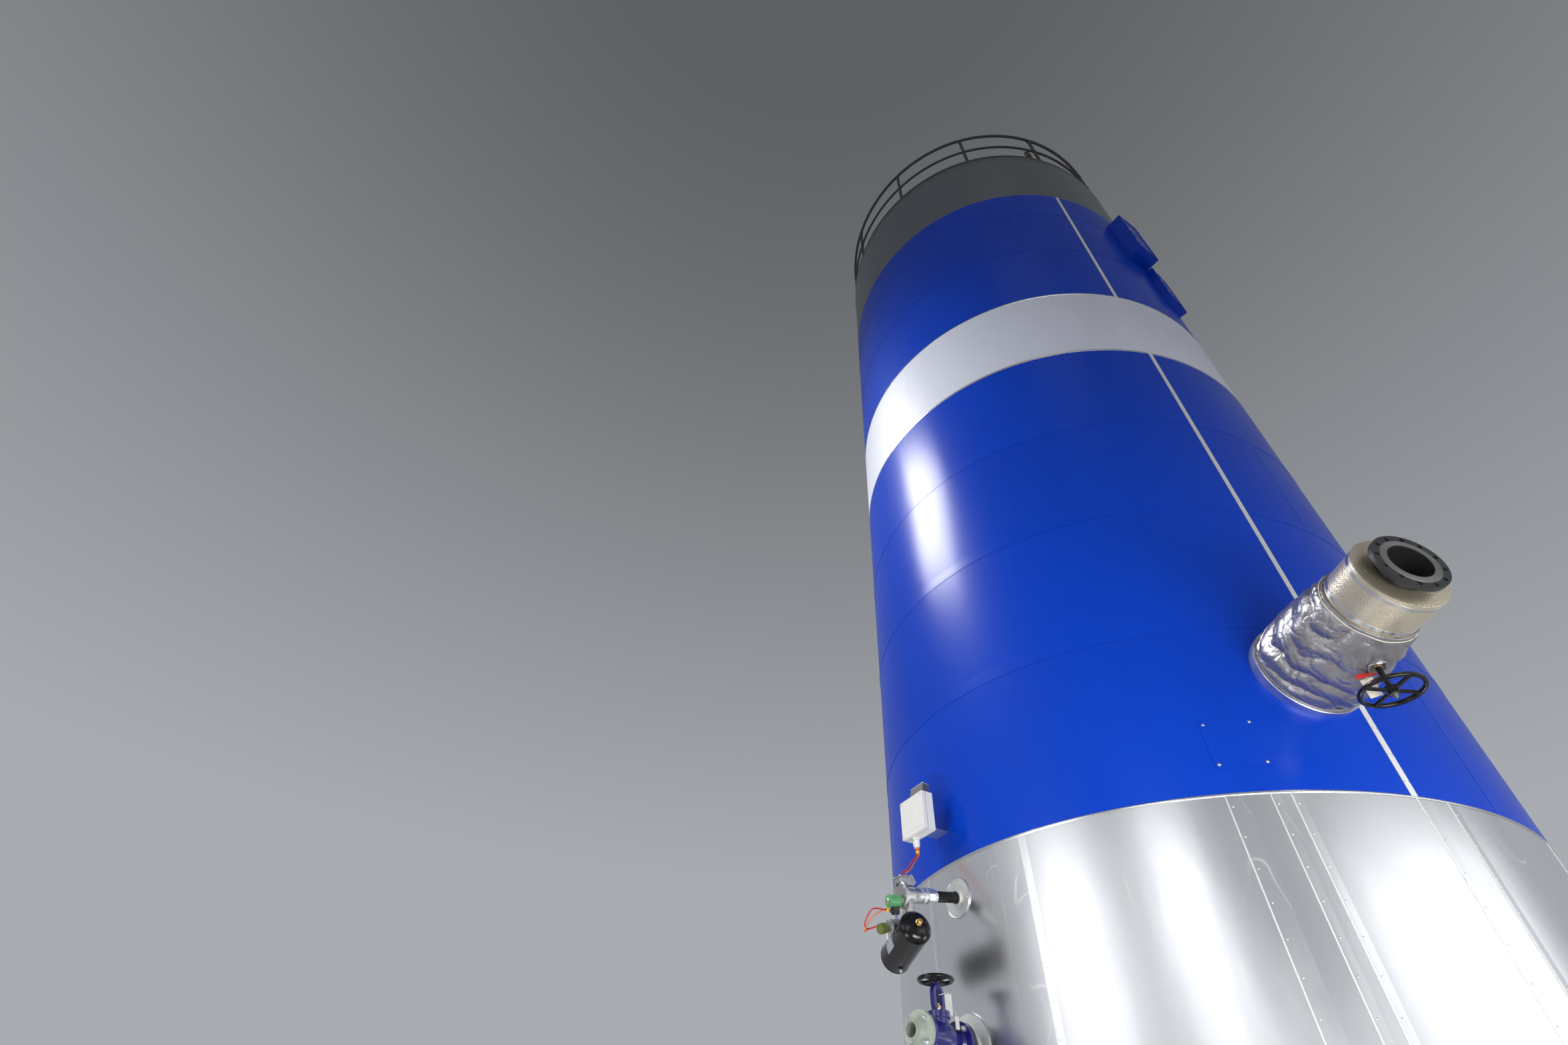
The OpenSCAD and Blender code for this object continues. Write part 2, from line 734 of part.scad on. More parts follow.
// The yoke: a foot on the bonnet, two arms round an oval opening, and the hub that guides the spindle.
module drain_yoke() {
    yoke_z = drain_bonnet_z + seat;
    yoke_h = drain_wheel_h - yoke_z - 18;
    hub_h = 20;
    gap_r = 20;
    arm_t = 13;
    arm_x = 40;
    color(valve_blue) on_drain() translate([drain_mid_x, 0, yoke_z]) difference() {
        union() {
            cylinder(r = drain_bonnet_r, h = 13);
            translate([0, 0, 13]) cylinder(r1 = 36, r2 = 27, h = 14);
            translate([0, arm_t, 0]) rotate([90, 0, 0]) linear_extrude(2 * arm_t) polygon([
                [-30, 6], [30, 6], [arm_x, 40], [arm_x, yoke_h - hub_h - 24],
                [arm_x - 6, yoke_h - hub_h - 4], [17, yoke_h - 4], [-17, yoke_h - 4],
                [6 - arm_x, yoke_h - hub_h - 4], [-arm_x, yoke_h - hub_h - 24], [-arm_x, 40]]);
            translate([0, 0, yoke_h - hub_h]) cylinder(r = 20, h = hub_h);
        }
        for (z = [gap_r + 29, yoke_h - hub_h - gap_r - 3])
            translate([0, arm_t + 10, z]) rotate([90, 0, 0]) cylinder(r = gap_r, h = 2 * arm_t + 20);
        translate([-gap_r, -arm_t - 10, gap_r + 29])
            cube([2 * gap_r, 2 * arm_t + 20, yoke_h - hub_h - 2 * gap_r - 32]);
        translate([0, 0, -past]) cylinder(r = drain_spindle_r + seat, h = yoke_h + 2 * past, $fn = 32);
    }
}

module drain_handwheel() {
    spindle_bottom = 40 - drain_wheel_h;
    color(black_paint) on_drain() translate([drain_mid_x, 0, drain_wheel_h]) {
        handwheel(drain_wheel_r, 10.5, 17, 22, 4);
        translate([0, 0, spindle_bottom]) cylinder(r = drain_spindle_r, h = 22 - spindle_bottom);
    }
}

module drain_counter_flange() {
    neck_l = 55;
    color([0.55, 0.6, 0.52]) on_drain() outward(drain_out_x + seat) difference() {
        union() {
            cylinder(r = drain_flange_r, h = drain_flange_t);
            translate([0, 0, drain_flange_t]) cylinder(r1 = drain_pipe_r + 16, r2 = drain_pipe_r, h = 30);
            translate([0, 0, drain_flange_t]) cylinder(r = drain_pipe_r, h = neck_l);
        }
        translate([0, 0, -past]) cylinder(r = drain_bore_r, h = drain_flange_t + neck_l + 2 * past);
        hole_circle(4, drain_circle_r, drain_hole_r, -past, drain_flange_t + past);
    }
}

// Pulse cleaner

union_x = nipple_l;
pulse_x = union_x + union_l + pulse_valve_l;
bonnet_top_x = pulse_x + 50;
inlet_r = 21;
neck_t = 8;
// The inlet ends 10 mm inside the barrel's space, and the feed valve's start is half in it.
inlet_drop = receiver_drop - receiver_r - 49;
feed_z = receiver_r - 8 - receiver_drop;

module cleaning_rosette() {
    collar_r = nipple_r + 9;
    color(bare_metal) difference() {
        union() {
            rosette_plate(clean_angle, clean_z, clean_rosette_r);
            difference() {
                on_nipple() outward(-collar_r) cylinder(r = collar_r, h = collar_r + 14);
                translate([0, 0, clean_z - 2 * collar_r])
                    cylinder(r = bare_r + seat, h = 4 * collar_r, $fn = ring_fn);
            }
        }
        on_nipple() passage(nipple_r);
    }
}

module cleaning_nipple() {
    color(black_paint) on_nipple()
        outward() tube(nipple_r, nipple_wall, -lagging_t - shell_t, union_x - seat);
}

module cleaning_union() {
    color(bare_metal) on_nipple() outward(union_x) difference() {
        union() {
            cylinder(r = nipple_r + 7, h = union_l);
            translate([0, 0, union_l * 0.22]) cylinder(r = union_r, h = union_l * 0.34, $fn = 8);
            translate([0, 0, union_l * 0.66]) cylinder(r = union_r - 3, h = union_l * 0.2);
        }
        translate([0, 0, -past]) cylinder(r = nipple_r - nipple_wall, h = union_l + 2 * past);
    }
}

// The pulse valve's body and bonnet, its boss, and the inlet that ends on the receiver.
module pulse_valve() {
    color(cast_metal) on_wall(clean_angle, clean_z) difference() {
        rotate([0, clean_slope, 0]) {
            outward() rotate_extrude() polygon([
                [0, union_x + union_l + seat], [nipple_r + 10, union_x + union_l + seat],
                [nipple_r + 10, pulse_x - 56], [pulse_body_r, pulse_x - 30],
                [pulse_body_r, pulse_x + 30], [bonnet_r, pulse_x + 30],
                [bonnet_r, pulse_x + 44], [bonnet_r - 6, bonnet_top_x], [0, bonnet_top_x]]);
            translate([pulse_x, 0, -inlet_drop]) cylinder(r = inlet_r, h = inlet_drop);
            translate([pulse_x, 0, 0]) cylinder(r = 26, h = pulse_boss_h);
        }
        receiver_space();
    }
}

// The solenoid's stem, its coil, and the connector that hangs under the coil.
module pulse_solenoid() {
    stem_l = 18;
    plug_w = 30;
    color([0.35, 0.65, 0.35]) on_nipple() translate([0, 0, -coil_drop]) {
        outward(bonnet_top_x + seat) cylinder(r = coil_r * 0.6, h = stem_l + past);
        outward(bonnet_top_x + seat + stem_l) cylinder(r = coil_r, h = coil_l);
        translate([bonnet_top_x + stem_l + (coil_l - plug_w) / 2, -plug_w / 2, -coil_r - plug_w])
            cube([plug_w, plug_w, plug_w + coil_r / 2]);
    }
}

// The receiver's place on the wall: Z runs along it.
module on_receiver() {
    translate([receiver_x, receiver_side_shift, -receiver_drop])
        rotate([receiver_tilt - 90, 0, -receiver_turn]) children();
}

// The receiver's barrel with its clearance.
module receiver_space() {
    on_receiver() translate([0, 0, -receiver_l])
        cylinder(r = receiver_r + seat, h = 2 * receiver_l);
}

module air_receiver() {
    half_l = receiver_l / 2;
    dome = receiver_r * 0.5;
    boss_h = 14;
    color(black_paint) on_wall(clean_angle, clean_z) on_receiver() {
        rotate_extrude() polygon(concat([[0, -half_l]],
            [for (a = [10 : 10 : 80]) [receiver_r * sin(a), -half_l + dome * (1 - cos(a))]],
            [[receiver_r, -half_l + dome], [receiver_r, half_l - dome]],
            [for (a = [80 : -10 : 10]) [receiver_r * sin(a), half_l - dome * (1 - cos(a))]],
            [[0, half_l]]));
        cylinder(r = 17, h = half_l + boss_h);
        translate([0, 0, -half_l - boss_h]) cylinder(r = 17, h = half_l);
    }
}

// The collar round the pulse valve's inlet, and the feed valve: both sit on the receiver.
module receiver_neck() {
    color(cast_metal) on_wall(clean_angle, clean_z) difference() {
        union() {
            rotate([0, clean_slope, 0]) translate([pulse_x, 0, 0])
                tube(inlet_r + seat + neck_t, neck_t, -inlet_drop, 12 - pulse_body_r);
            translate([pulse_x - 15, receiver_side_shift + 20, feed_z]) rotate([0, 2 * clean_slope, 0]) {
                outward() cylinder(r = feed_r, h = feed_l);
                outward(feed_l - past) cylinder(r = feed_r * 0.72, h = feed_l + past);
            }
        }
        receiver_space();
        rotate([0, clean_slope, 0]) outward() cylinder(r = pulse_body_r + seat, h = 2 * pulse_x);
    }
}

// Junction box

// The box: body, lid with a narrow joint between them, and the connector hood on its top.
module junction_box() {
    body_d = jbox_d * 0.68;
    hood_d = jbox_d * 0.6;
    color(white_paint) on_wall(clean_angle, clean_z)
        translate([jbox_gap, jbox_side_shift - jbox_side / 2, jbox_rise]) {
            cube([body_d, jbox_side, jbox_side]);
            translate([body_d + 1, 0, 0]) cube([jbox_d - body_d - 1, jbox_side, jbox_side]);
            translate([jbox_d * 0.5, 4, 4]) cube([jbox_d * 0.3, jbox_side - 8, jbox_side - 8]);
            translate([-hood_d * 0.55, (jbox_side - hood_w) / 2 - 24, jbox_side - hood_d / 4])
                rotate([0, -8, 0]) cube([hood_d, hood_w, hood_h + hood_d / 4]);
        }
}

module junction_bracket() {
    w = jbox_side * 0.5;
    arm_l = jbox_gap - seat;
    back = w * w / clad_r;
    color(black_paint) difference() {
        on_wall(clean_angle, clean_z)
            translate([-back, jbox_side_shift - w / 2, jbox_rise + 40]) {
                cube([arm_l + back, w, 6]);
                translate([arm_l + back - 5, 0, 0]) cube([5, w, 150]);
            }
        cylinder(r = clad_r + seat, h = roof_z, $fn = ring_fn);
    }
}

gland_x = jbox_gap + jbox_d * 0.45;

module cable_gland() {
    color(white_paint) on_wall(clean_angle, clean_z)
        translate([gland_x, gland_side_shift, jbox_rise - gland_l - seat]) {
            cylinder(r = gland_r * 0.8, h = gland_l);
            translate([0, 0, gland_l * 0.2]) cylinder(r = gland_r, h = gland_l * 0.5);
            translate([0, 0, gland_l * 0.75]) cylinder(r = gland_r * 1.2, h = gland_l * 0.25, $fn = 6);
        }
}

// The loom's route from the gland down to the pulse valve, chosen by hand.
loom_top = [gland_x, gland_side_shift, jbox_rise - gland_l - 2 * seat];
loom_end = [pulse_x * cos(clean_slope) + pulse_boss_h * sin(clean_slope), 0,
    pulse_boss_h * cos(clean_slope) - pulse_x * sin(clean_slope) + 5];
loom_steps = 14;

function loom_point(t) =
    loom_top * (1 - t) * (1 - t) * (1 - t)
    + (loom_top - [0, 0, 120]) * 3 * t * (1 - t) * (1 - t)
    + (loom_end + [0, 0, 90]) * 3 * t * t * (1 - t)
    + loom_end * t * t * t;

module wire_loom() {
    sides = 8;
    rings = [for (i = [0 : loom_steps]) loom_point(i / loom_steps)];
    points = [for (p = rings) for (k = [0 : sides - 1])
        p + loom_r * [cos(k * 360 / sides), sin(k * 360 / sides), 0]];
    side_faces = [for (i = [0 : loom_steps - 1]) for (k = [0 : sides - 1])
        [i * sides + k, i * sides + (k + 1) % sides,
            (i + 1) * sides + (k + 1) % sides, (i + 1) * sides + k]];
    caps = [[for (k = [sides - 1 : -1 : 0]) k],
        [for (k = [0 : sides - 1]) loom_steps * sides + k]];
    color([0.75, 0.15, 0.1]) on_wall(clean_angle, clean_z)
        polyhedron(points = points, faces = concat(side_faces, caps));
}

base_ring();
anchor_chairs();
pressure_shell();
bottom_plate();
bare_cladding();
blue_cladding_lower();
white_band();
blue_cladding_upper();
top_casing();
roof_plate();
toe_ring();
rail_posts();
mid_rail();
top_rail();
cover_strips_lower();
cover_strips_upper();
screwed_plate();
upper_side_box();
lower_side_box();
safety_valve();
vent_valve();
nozzle_collar();
outlet_nozzle();
outlet_valve();
outlet_handwheel();
valve_jacket();
outlet_lagging();
outlet_stub();
drain_rosette();
drain_nozzle();
drain_valve();
drain_yoke();
drain_handwheel();
drain_counter_flange();
cleaning_rosette();
cleaning_nipple();
cleaning_union();
pulse_valve();
pulse_solenoid();
air_receiver();
receiver_neck();
junction_box();
junction_bracket();
cable_gland();
wire_loom();
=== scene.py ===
"""Dresses the boiler's CAD model: finishes, sheet joints, fasteners, quilted jacket, wires, stage.

Metres, in the CAD model's frame: z = 0 is the floor, Z is the vessel's axis, angles run
counterclockwise from +X seen from above, and the front is at -90 degrees.
"""

import math
import random

import bmesh
import bpy
from bpy.props import FloatProperty, FloatVectorProperty, IntProperty, PointerProperty
from mathutils import Matrix, Vector, noise


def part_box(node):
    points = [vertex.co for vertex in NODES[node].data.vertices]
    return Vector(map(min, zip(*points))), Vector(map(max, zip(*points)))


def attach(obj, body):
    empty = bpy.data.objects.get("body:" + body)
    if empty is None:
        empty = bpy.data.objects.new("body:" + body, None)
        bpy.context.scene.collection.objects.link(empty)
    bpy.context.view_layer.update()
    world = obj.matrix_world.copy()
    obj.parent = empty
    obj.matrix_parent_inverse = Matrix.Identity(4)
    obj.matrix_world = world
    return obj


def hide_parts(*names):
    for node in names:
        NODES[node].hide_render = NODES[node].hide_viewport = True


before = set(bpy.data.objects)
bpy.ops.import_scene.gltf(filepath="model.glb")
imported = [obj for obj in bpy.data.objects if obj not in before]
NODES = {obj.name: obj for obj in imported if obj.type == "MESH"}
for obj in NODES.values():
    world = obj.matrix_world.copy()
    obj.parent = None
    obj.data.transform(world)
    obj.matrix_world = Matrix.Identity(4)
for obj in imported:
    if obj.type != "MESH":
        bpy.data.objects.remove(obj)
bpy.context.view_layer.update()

bl_info = {
    "name": "Industrial Boiler Dressing",
    "version": (1, 0, 0),
    "blender": (4, 5, 0),
    "location": "View3D > Sidebar > Boiler",
    "description": "Adds finishes, fasteners, a quilted jacket, wires and a stage to the boiler",
    "category": "Object",
}

FULL_TURN = 2 * math.pi


# ---------------------------------------------------------------- properties


class BoilerColours(bpy.types.PropertyGroup):
    """Base colours of the finishes, in linear values."""

    def colour(name, description, value):
        return FloatVectorProperty(
            name=name, description=description, default=value,
            size=3, min=0.0, max=1.0, subtype="COLOR",
        )

    blue: colour("Blue sheet", "Painted cladding sheet", (0.0001, 0.041, 0.44))
    white: colour("White band", "Painted band round the vessel", (0.62, 0.64, 0.74))
    bare: colour("Bare sheet", "Bare aluminium sheet", (0.76, 0.77, 0.79))
    # Rosette: the pale sheet's own colour on the cover strips, and painted reflection on the
    # rosettes and painted highlight lines on the bare sheet's seam folds.
    rosette: colour("Rosette sheet", "Rosettes, cover strips and folds", (0.88, 0.88, 0.86))
    machined: colour("Machined steel", "Raised face, wheel nut and hood", (0.26, 0.26, 0.25))
    galvanised: colour("Galvanised steel", "Bolts, nuts and bracket", (0.68, 0.69, 0.70))
    bright: colour("Bright steel", "Rivets, screws and folded edges", (0.68, 0.68, 0.67))
    # Casing: bare metal darkened, painted reflection of dark surroundings.
    casing: colour("Casing", "Grey metal casing at the top", (0.20, 0.21, 0.23))
    steel: colour("Black steel", "Painted base, shell and railing", (0.018, 0.018, 0.020))
    enamel: colour("Valve enamel", "Violet-blue enamel of the valves", (0.010, 0.010, 0.15))
    cast: colour("Cast aluminium", "Body of the pulse valve", (0.50, 0.50, 0.49))
    gloss: colour("Black enamel", "Glossy black of receiver and wheels", (0.005, 0.005, 0.006))
    cloth: colour("Jacket cloth", "Aluminised glass cloth", (0.33, 0.32, 0.34))
    stucco: colour("Lagging sheet", "Embossed sheet on the outlet pipe", (0.70, 0.62, 0.47))
    flange: colour("Grey-green flange", "Paint of the drain's counter flange", (0.36, 0.41, 0.34))
    green: colour("Green plastic", "Coil of the solenoid", (0.10, 0.33, 0.13))
    olive: colour("Olive plastic", "Cap of the feed valve", (0.13, 0.16, 0.03))
    plastic: colour("White plastic", "Junction box and gland", (0.72, 0.72, 0.69))
    # Black: plugs, gaskets and lid joints, and painted shade in the lid screws' slots.
    black: colour("Black plastic", "Plugs, gaskets and slots", (0.02, 0.02, 0.022))
    label: colour("Label", "Bare plate on the receiver", (0.30, 0.32, 0.38))
    brass: colour("Brass", "Gland nuts and small fittings", (0.62, 0.42, 0.16))
    red: colour("Red", "Strap and wires", (0.55, 0.02, 0.012))
    orange: colour("Orange", "Wires and ring", (0.75, 0.16, 0.02))
    yellow: colour("Yellow", "Ties and band", (0.80, 0.55, 0.03))
    tag: colour("Tag", "Cream card tags", (0.74, 0.68, 0.55))


class BoilerSizes(bpy.types.PropertyGroup):
    """Sizes of the small parts that Blender adds."""

    def length(name, description, value, low, high):
        return FloatProperty(
            name=name, description=description, default=value,
            min=low, max=high, subtype="DISTANCE", unit="LENGTH",
        )

    vessel_r: length("Cladding radius", "Outer radius of the cladding", 2.0, 1.9, 2.1)
    lip: length("Sheet lip", "How far a lapped sheet stands proud", 0.0018, 0.0005, 0.004)
    rivet_r: length("Rivet radius", "Head radius of the blind rivets", 0.0045, 0.002, 0.008)
    rivet_step: length("Rivet step", "Distance between rivets on a joint", 0.15, 0.08, 0.4)
    wire_d: length("Wire diameter", "Outer diameter of a wire", 0.0075, 0.003, 0.010)
    cloth_edge: length("Cloth edge", "Mesh size of the jacket cloth", 0.0075, 0.006, 0.03)
    quilt_depth: length("Quilt depth", "Thickness of the jacket's padding", 0.026, 0.01, 0.04)


class BoilerCounts(bpy.types.PropertyGroup):
    """Numbers of repeated parts."""

    wires: IntProperty(name="Wires", description="Wires of the pulse cleaner", default=5, min=4,
                       max=5)
    quilt_rows: IntProperty(name="Quilt rows", description="Folds along the jacket", default=5,
                            min=4, max=12)


def colours():
    return bpy.context.scene.boiler_colours


def sizes():
    return bpy.context.scene.boiler_sizes


def counts():
    return bpy.context.scene.boiler_counts


# ---------------------------------------------------------------- shader maths


class Value:
    """A shader socket that can be added, multiplied and compared: each operator adds a node."""

    def __init__(self, finish, socket):
        self.finish = finish
        self.socket = socket

    def maths(self, operation, *others):
        return self.finish.node("Math", {"operation": operation}, dict(enumerate((self, *others))))

    def __add__(self, other):
        return self.maths("ADD", other)

    def __sub__(self, other):
        return self.maths("SUBTRACT", other)

    def __rsub__(self, other):
        return self.finish.node("Math", {"operation": "SUBTRACT"}, {0: other, 1: self})

    def __mul__(self, other):
        return self.maths("MULTIPLY", other)

    def __truediv__(self, other):
        return self.maths("DIVIDE", other)

    def __lt__(self, other):
        return self.maths("LESS_THAN", other)

    __radd__ = __add__
    __rmul__ = __mul__

    def floor(self):
        return self.maths("FLOOR")

    def fract(self):
        return self.maths("FRACT")

    def absolute(self):
        return self.maths("ABSOLUTE")

    def ramp(self, low, high):
        """0 to 1 smoothly between low and high."""
        return self.finish.node(
            "MapRange", {"interpolation_type": "SMOOTHSTEP"},
            {"Value": self, "From Min": low, "From Max": high, "To Min": 0.0, "To Max": 1.0})


def fill(socket, value):
    """Sets a socket's constant: a colour of three parts gets its alpha."""
    plain_colour = socket.type == "RGBA" and len(value) == 3
    socket.default_value = (*value, 1.0) if plain_colour else value


class Finish:
    """A material built from Principled, with its varying inputs fed by nodes."""

    def __init__(self, name, **constants):
        self.material = bpy.data.materials.new(name)
        self.material.use_nodes = True
        self.tree = self.material.node_tree
        self.shader = self.tree.nodes["Principled BSDF"]
        for key, value in constants.items():
            fill(self.shader.inputs[key.replace("_", " ")], value)

    def node(self, kind, settings=None, inputs=None, output=0):
        """Adds a node with its settings and the constants or links of its sockets."""
        made = self.tree.nodes.new("ShaderNode" + kind)
        for key, value in (settings or {}).items():
            setattr(made, key, value)
        for key, value in (inputs or {}).items():
            if isinstance(value, Value):
                self.tree.links.new(value.socket, made.inputs[key])
            else:
                fill(made.inputs[key], value)
        return Value(self, made.outputs[output])

    def place(self):
        """The point in the CAD frame, in metres."""
        return self.node("TexCoord", output="Object")

    def axes(self, point):
        return [self.node("SeparateXYZ", inputs={0: point}, output=i) for i in range(3)]

    def join(self, x, y, z):
        return self.node("CombineXYZ", inputs={0: x, 1: y, 2: z})

    def stretch(self, point, x, y, z=1.0):
        return self.node("VectorMath", {"operation": "MULTIPLY"}, {0: point, 1: (x, y, z)})

    def noise(self, point, scale, detail, rough):
        return self.node("TexNoise", inputs={"Vector": point, "Scale": scale, "Detail": detail,
                                             "Roughness": rough})

    def mix(self, share, first, second, blend="MIX"):
        """Mixes two colours by a share."""
        return self.node("Mix", {"data_type": "RGBA", "blend_type": blend},
                         {0: share, 6: first, 7: second}, output=2)

    def feed(self, name, value):
        self.tree.links.new(value.socket, self.shader.inputs[name])

    def bump(self, height, distance=1.0):
        """Feeds the shader's normal with a height that is in metres after times distance."""
        self.feed("Normal", self.node("Bump", inputs={"Height": height, "Distance": distance,
                                                      "Strength": 1.0}))


def shaded(colour, factor, lift=0.0):
    """A colour times a factor, or times one factor for each of its parts."""
    factors = factor if isinstance(factor, tuple) else (factor,) * 3
    return tuple(part * share + lift for part, share in zip(colour, factors))


def sheet_metal(name, colour, rough, metal, row_z, row_h, sheet_w, ripple, tone=0.10,
                grime=(0.10, 0.10, 0.10), scratches=0.0, gloss=0.5, coat=0.0):
    """Cladding sheet: rows and sheets that differ a little, long ripples, scuffs, dull patches."""
    finish = Finish(name, Metallic=metal, Specular_IOR_Level=gloss, Coat_Weight=coat,
                    Coat_Roughness=0.22)
    # Arc length round the vessel and height; each sheet draws its own number.
    x, y, z = finish.axes(finish.place())
    arc = y.maths("ARCTAN2", x) * sizes().vessel_r
    row = ((z - row_z) / row_h).floor()
    column = (arc / sheet_w + row * 0.37).floor()
    number = finish.join(row, column, 3.0)
    pick = finish.node("TexWhiteNoise", {"noise_dimensions": "3D"}, {"Vector": number})
    flat = finish.join(arc, z, pick * 7.0)
    long_wave = finish.noise(finish.stretch(flat, 1.0, 0.22), 1.3, 1.5, 0.45)
    short_wave = finish.noise(finish.stretch(flat, 1.0, 0.30), 5.5, 2.0, 0.5)
    scratch = finish.noise(finish.stretch(flat, 26.0, 1.6), 5.0, 4.0, 0.75)
    finish.bump(long_wave * ripple + short_wave * (ripple * 0.20) + scratch * 0.00003)
    dull = finish.noise(finish.stretch(flat, 1.0, 0.35), 2.2, 5.0, 0.55).ramp(0.36, 0.72)
    wiped = finish.noise(finish.stretch(flat, 1.2, 0.7), 1.3, 4.0, 0.55).ramp(0.42, 0.70)
    scuff = scratch.ramp(0.60, 0.74)
    # Long hair scratches: the thin zero lines of two stretched noises, where handled.
    handled = finish.noise(flat, 1.7, 2.0, 0.5).ramp(0.52, 0.66)
    hair = ((finish.noise(finish.stretch(flat, 1.0, 0.26), 3.1, 1.0, 0.4) - 0.5)
            .absolute().ramp(0.0055, 0.0)
            + (finish.noise(finish.stretch(flat, 1.0, 0.7), 2.3, 1.0, 0.4) - 0.47)
            .absolute().ramp(0.0035, 0.0)) * handled
    finish.feed("Roughness", pick * 0.03 + dull * 0.06 + wiped * 0.05 + scuff * 0.03
                + hair * 0.12 + rough)
    shade = (pick - 0.5) * tone + 1.0 - dull * 0.06 - wiped * 0.04
    toned = finish.mix(1.0, colour, finish.join(shade, shade, shade), "MULTIPLY")
    finish.feed("Base Color", finish.mix(hair * scratches, finish.mix(scuff * 0.05, toned, grime),
                                         (0.95, 0.94, 0.90)))
    return finish.material


def painted(name, colour, rough, grain=0.0001, grain_scale=60.0, worn=0.0, gloss=0.5, coat=0.0):
    """Paint or enamel with slight unevenness, dust in broad patches and, where worn, bare spots.
    """
    finish = Finish(name, Coat_Weight=coat, Coat_Roughness=0.08, Specular_IOR_Level=gloss)
    point = finish.place()
    fine = finish.noise(point, grain_scale, 4.0, 0.55)
    broad = finish.noise(point, 6.0, 4.0, 0.6)
    finish.bump(fine + broad * 0.6, grain)
    finish.feed("Roughness", broad * 0.12 + fine * 0.05 + (rough - 0.06))
    dust = broad.ramp(0.45, 0.75) * 0.06
    tint = finish.mix(dust, colour, shaded(colour, 0.7, 0.06))
    if worn:
        chip = finish.noise(point, 95.0, 5.0, 0.72).ramp(0.72 - worn * 0.1, 0.76 - worn * 0.1)
        tint = finish.mix(chip * worn, tint, (0.25, 0.24, 0.22))
    finish.feed("Base Color", tint)
    return finish.material


def plain_metal(name, colour, rough, grain_scale=90.0, grain=0.0002, metal=1.0):
    """Small bare metal parts: fine machining grain and handling marks."""
    finish = Finish(name, Metallic=metal)
    point = finish.place()
    fine = finish.noise(finish.stretch(point, 1.0, 1.0, 3.0), grain_scale, 5.0, 0.6)
    marks = finish.noise(point, 24.0, 5.0, 0.7).ramp(0.5, 0.8)
    finish.bump(fine, grain)
    finish.feed("Roughness", fine * 0.14 + marks * 0.16 + (rough - 0.07))
    finish.feed("Base Color", finish.mix(marks * 0.55, colour, shaded(colour, 0.45)))
    return finish.material


def cloth_finish(name, colour, rough):
    """Aluminised glass cloth: a fine weave under a foil film, with small creases."""
    finish = Finish(name, Metallic=0.82, Coat_Weight=0.10)
    point = finish.place()
    x, y, z = finish.axes(point)
    weave = ((x * 2600.0).maths("SINE") + (z * 2600.0).maths("SINE")
             + (y * 2600.0).maths("SINE")) * 0.17
    soft = finish.noise(point, 11.0, 3.0, 0.5)
    crease = (finish.noise(point, 26.0, 5.0, 0.58) - 0.5).absolute().ramp(0.0, 0.10)
    fine = finish.noise(point, 70.0, 4.0, 0.6)
    finish.bump(soft * 0.005 + crease * 0.0005 + fine * 0.0001 + weave * 0.00006)
    stain = finish.noise(point, 9.0, 5.0, 0.65).ramp(0.44, 0.68)
    finish.feed("Roughness", fine * 0.10 + stain * 0.10 + rough)
    finish.feed("Base Color", finish.mix(stain * 0.6, colour,
                                         shaded(colour, (0.70, 0.66, 0.62))))
    return finish.material


def stucco_finish(name, colour, rough):
    """Stucco-embossed sheet: a net of small raised cells."""
    finish = Finish(name, Metallic=0.85)
    point = finish.place()
    cell = finish.node("TexVoronoi", {"feature": "SMOOTH_F1"}, {"Vector": point, "Scale": 130.0},
                       output="Distance").ramp(0.05, 0.75)
    broad = finish.noise(point, 5.0, 4.0, 0.6)
    finish.bump(cell, 0.0006)
    finish.feed("Roughness", broad * 0.14 + cell * 0.06 + rough)
    finish.feed("Base Color", finish.mix(broad.ramp(0.4, 0.75) * 0.5, colour,
                                         shaded(colour, 0.72)))
    return finish.material


def tread_finish(name, colour, rough):
    """Roof sheet with a pressed tread: short bars that lie crosswise by turns."""
    finish = Finish(name, Metallic=0.9)
    x, y, z = finish.axes(finish.place())
    step = 0.045
    across, along = x / step, y / step
    parity = ((across.floor() + along.floor()) * 0.5).fract() * 2.0
    bar_a = (across.fract() - 0.5).absolute() < 0.12
    bar_b = (along.fract() - 0.5).absolute() < 0.12
    bar = bar_a * parity + bar_b * (1.0 - parity)
    grime = finish.noise(finish.join(x, y, z), 3.0, 6.0, 0.65)
    finish.bump(bar, 0.0015)
    finish.feed("Roughness", grime * 0.35 + rough)
    finish.feed("Base Color", finish.mix(grime.ramp(0.4, 0.75) * 0.7, colour,
                                         shaded(colour, 0.5)))
    return finish.material


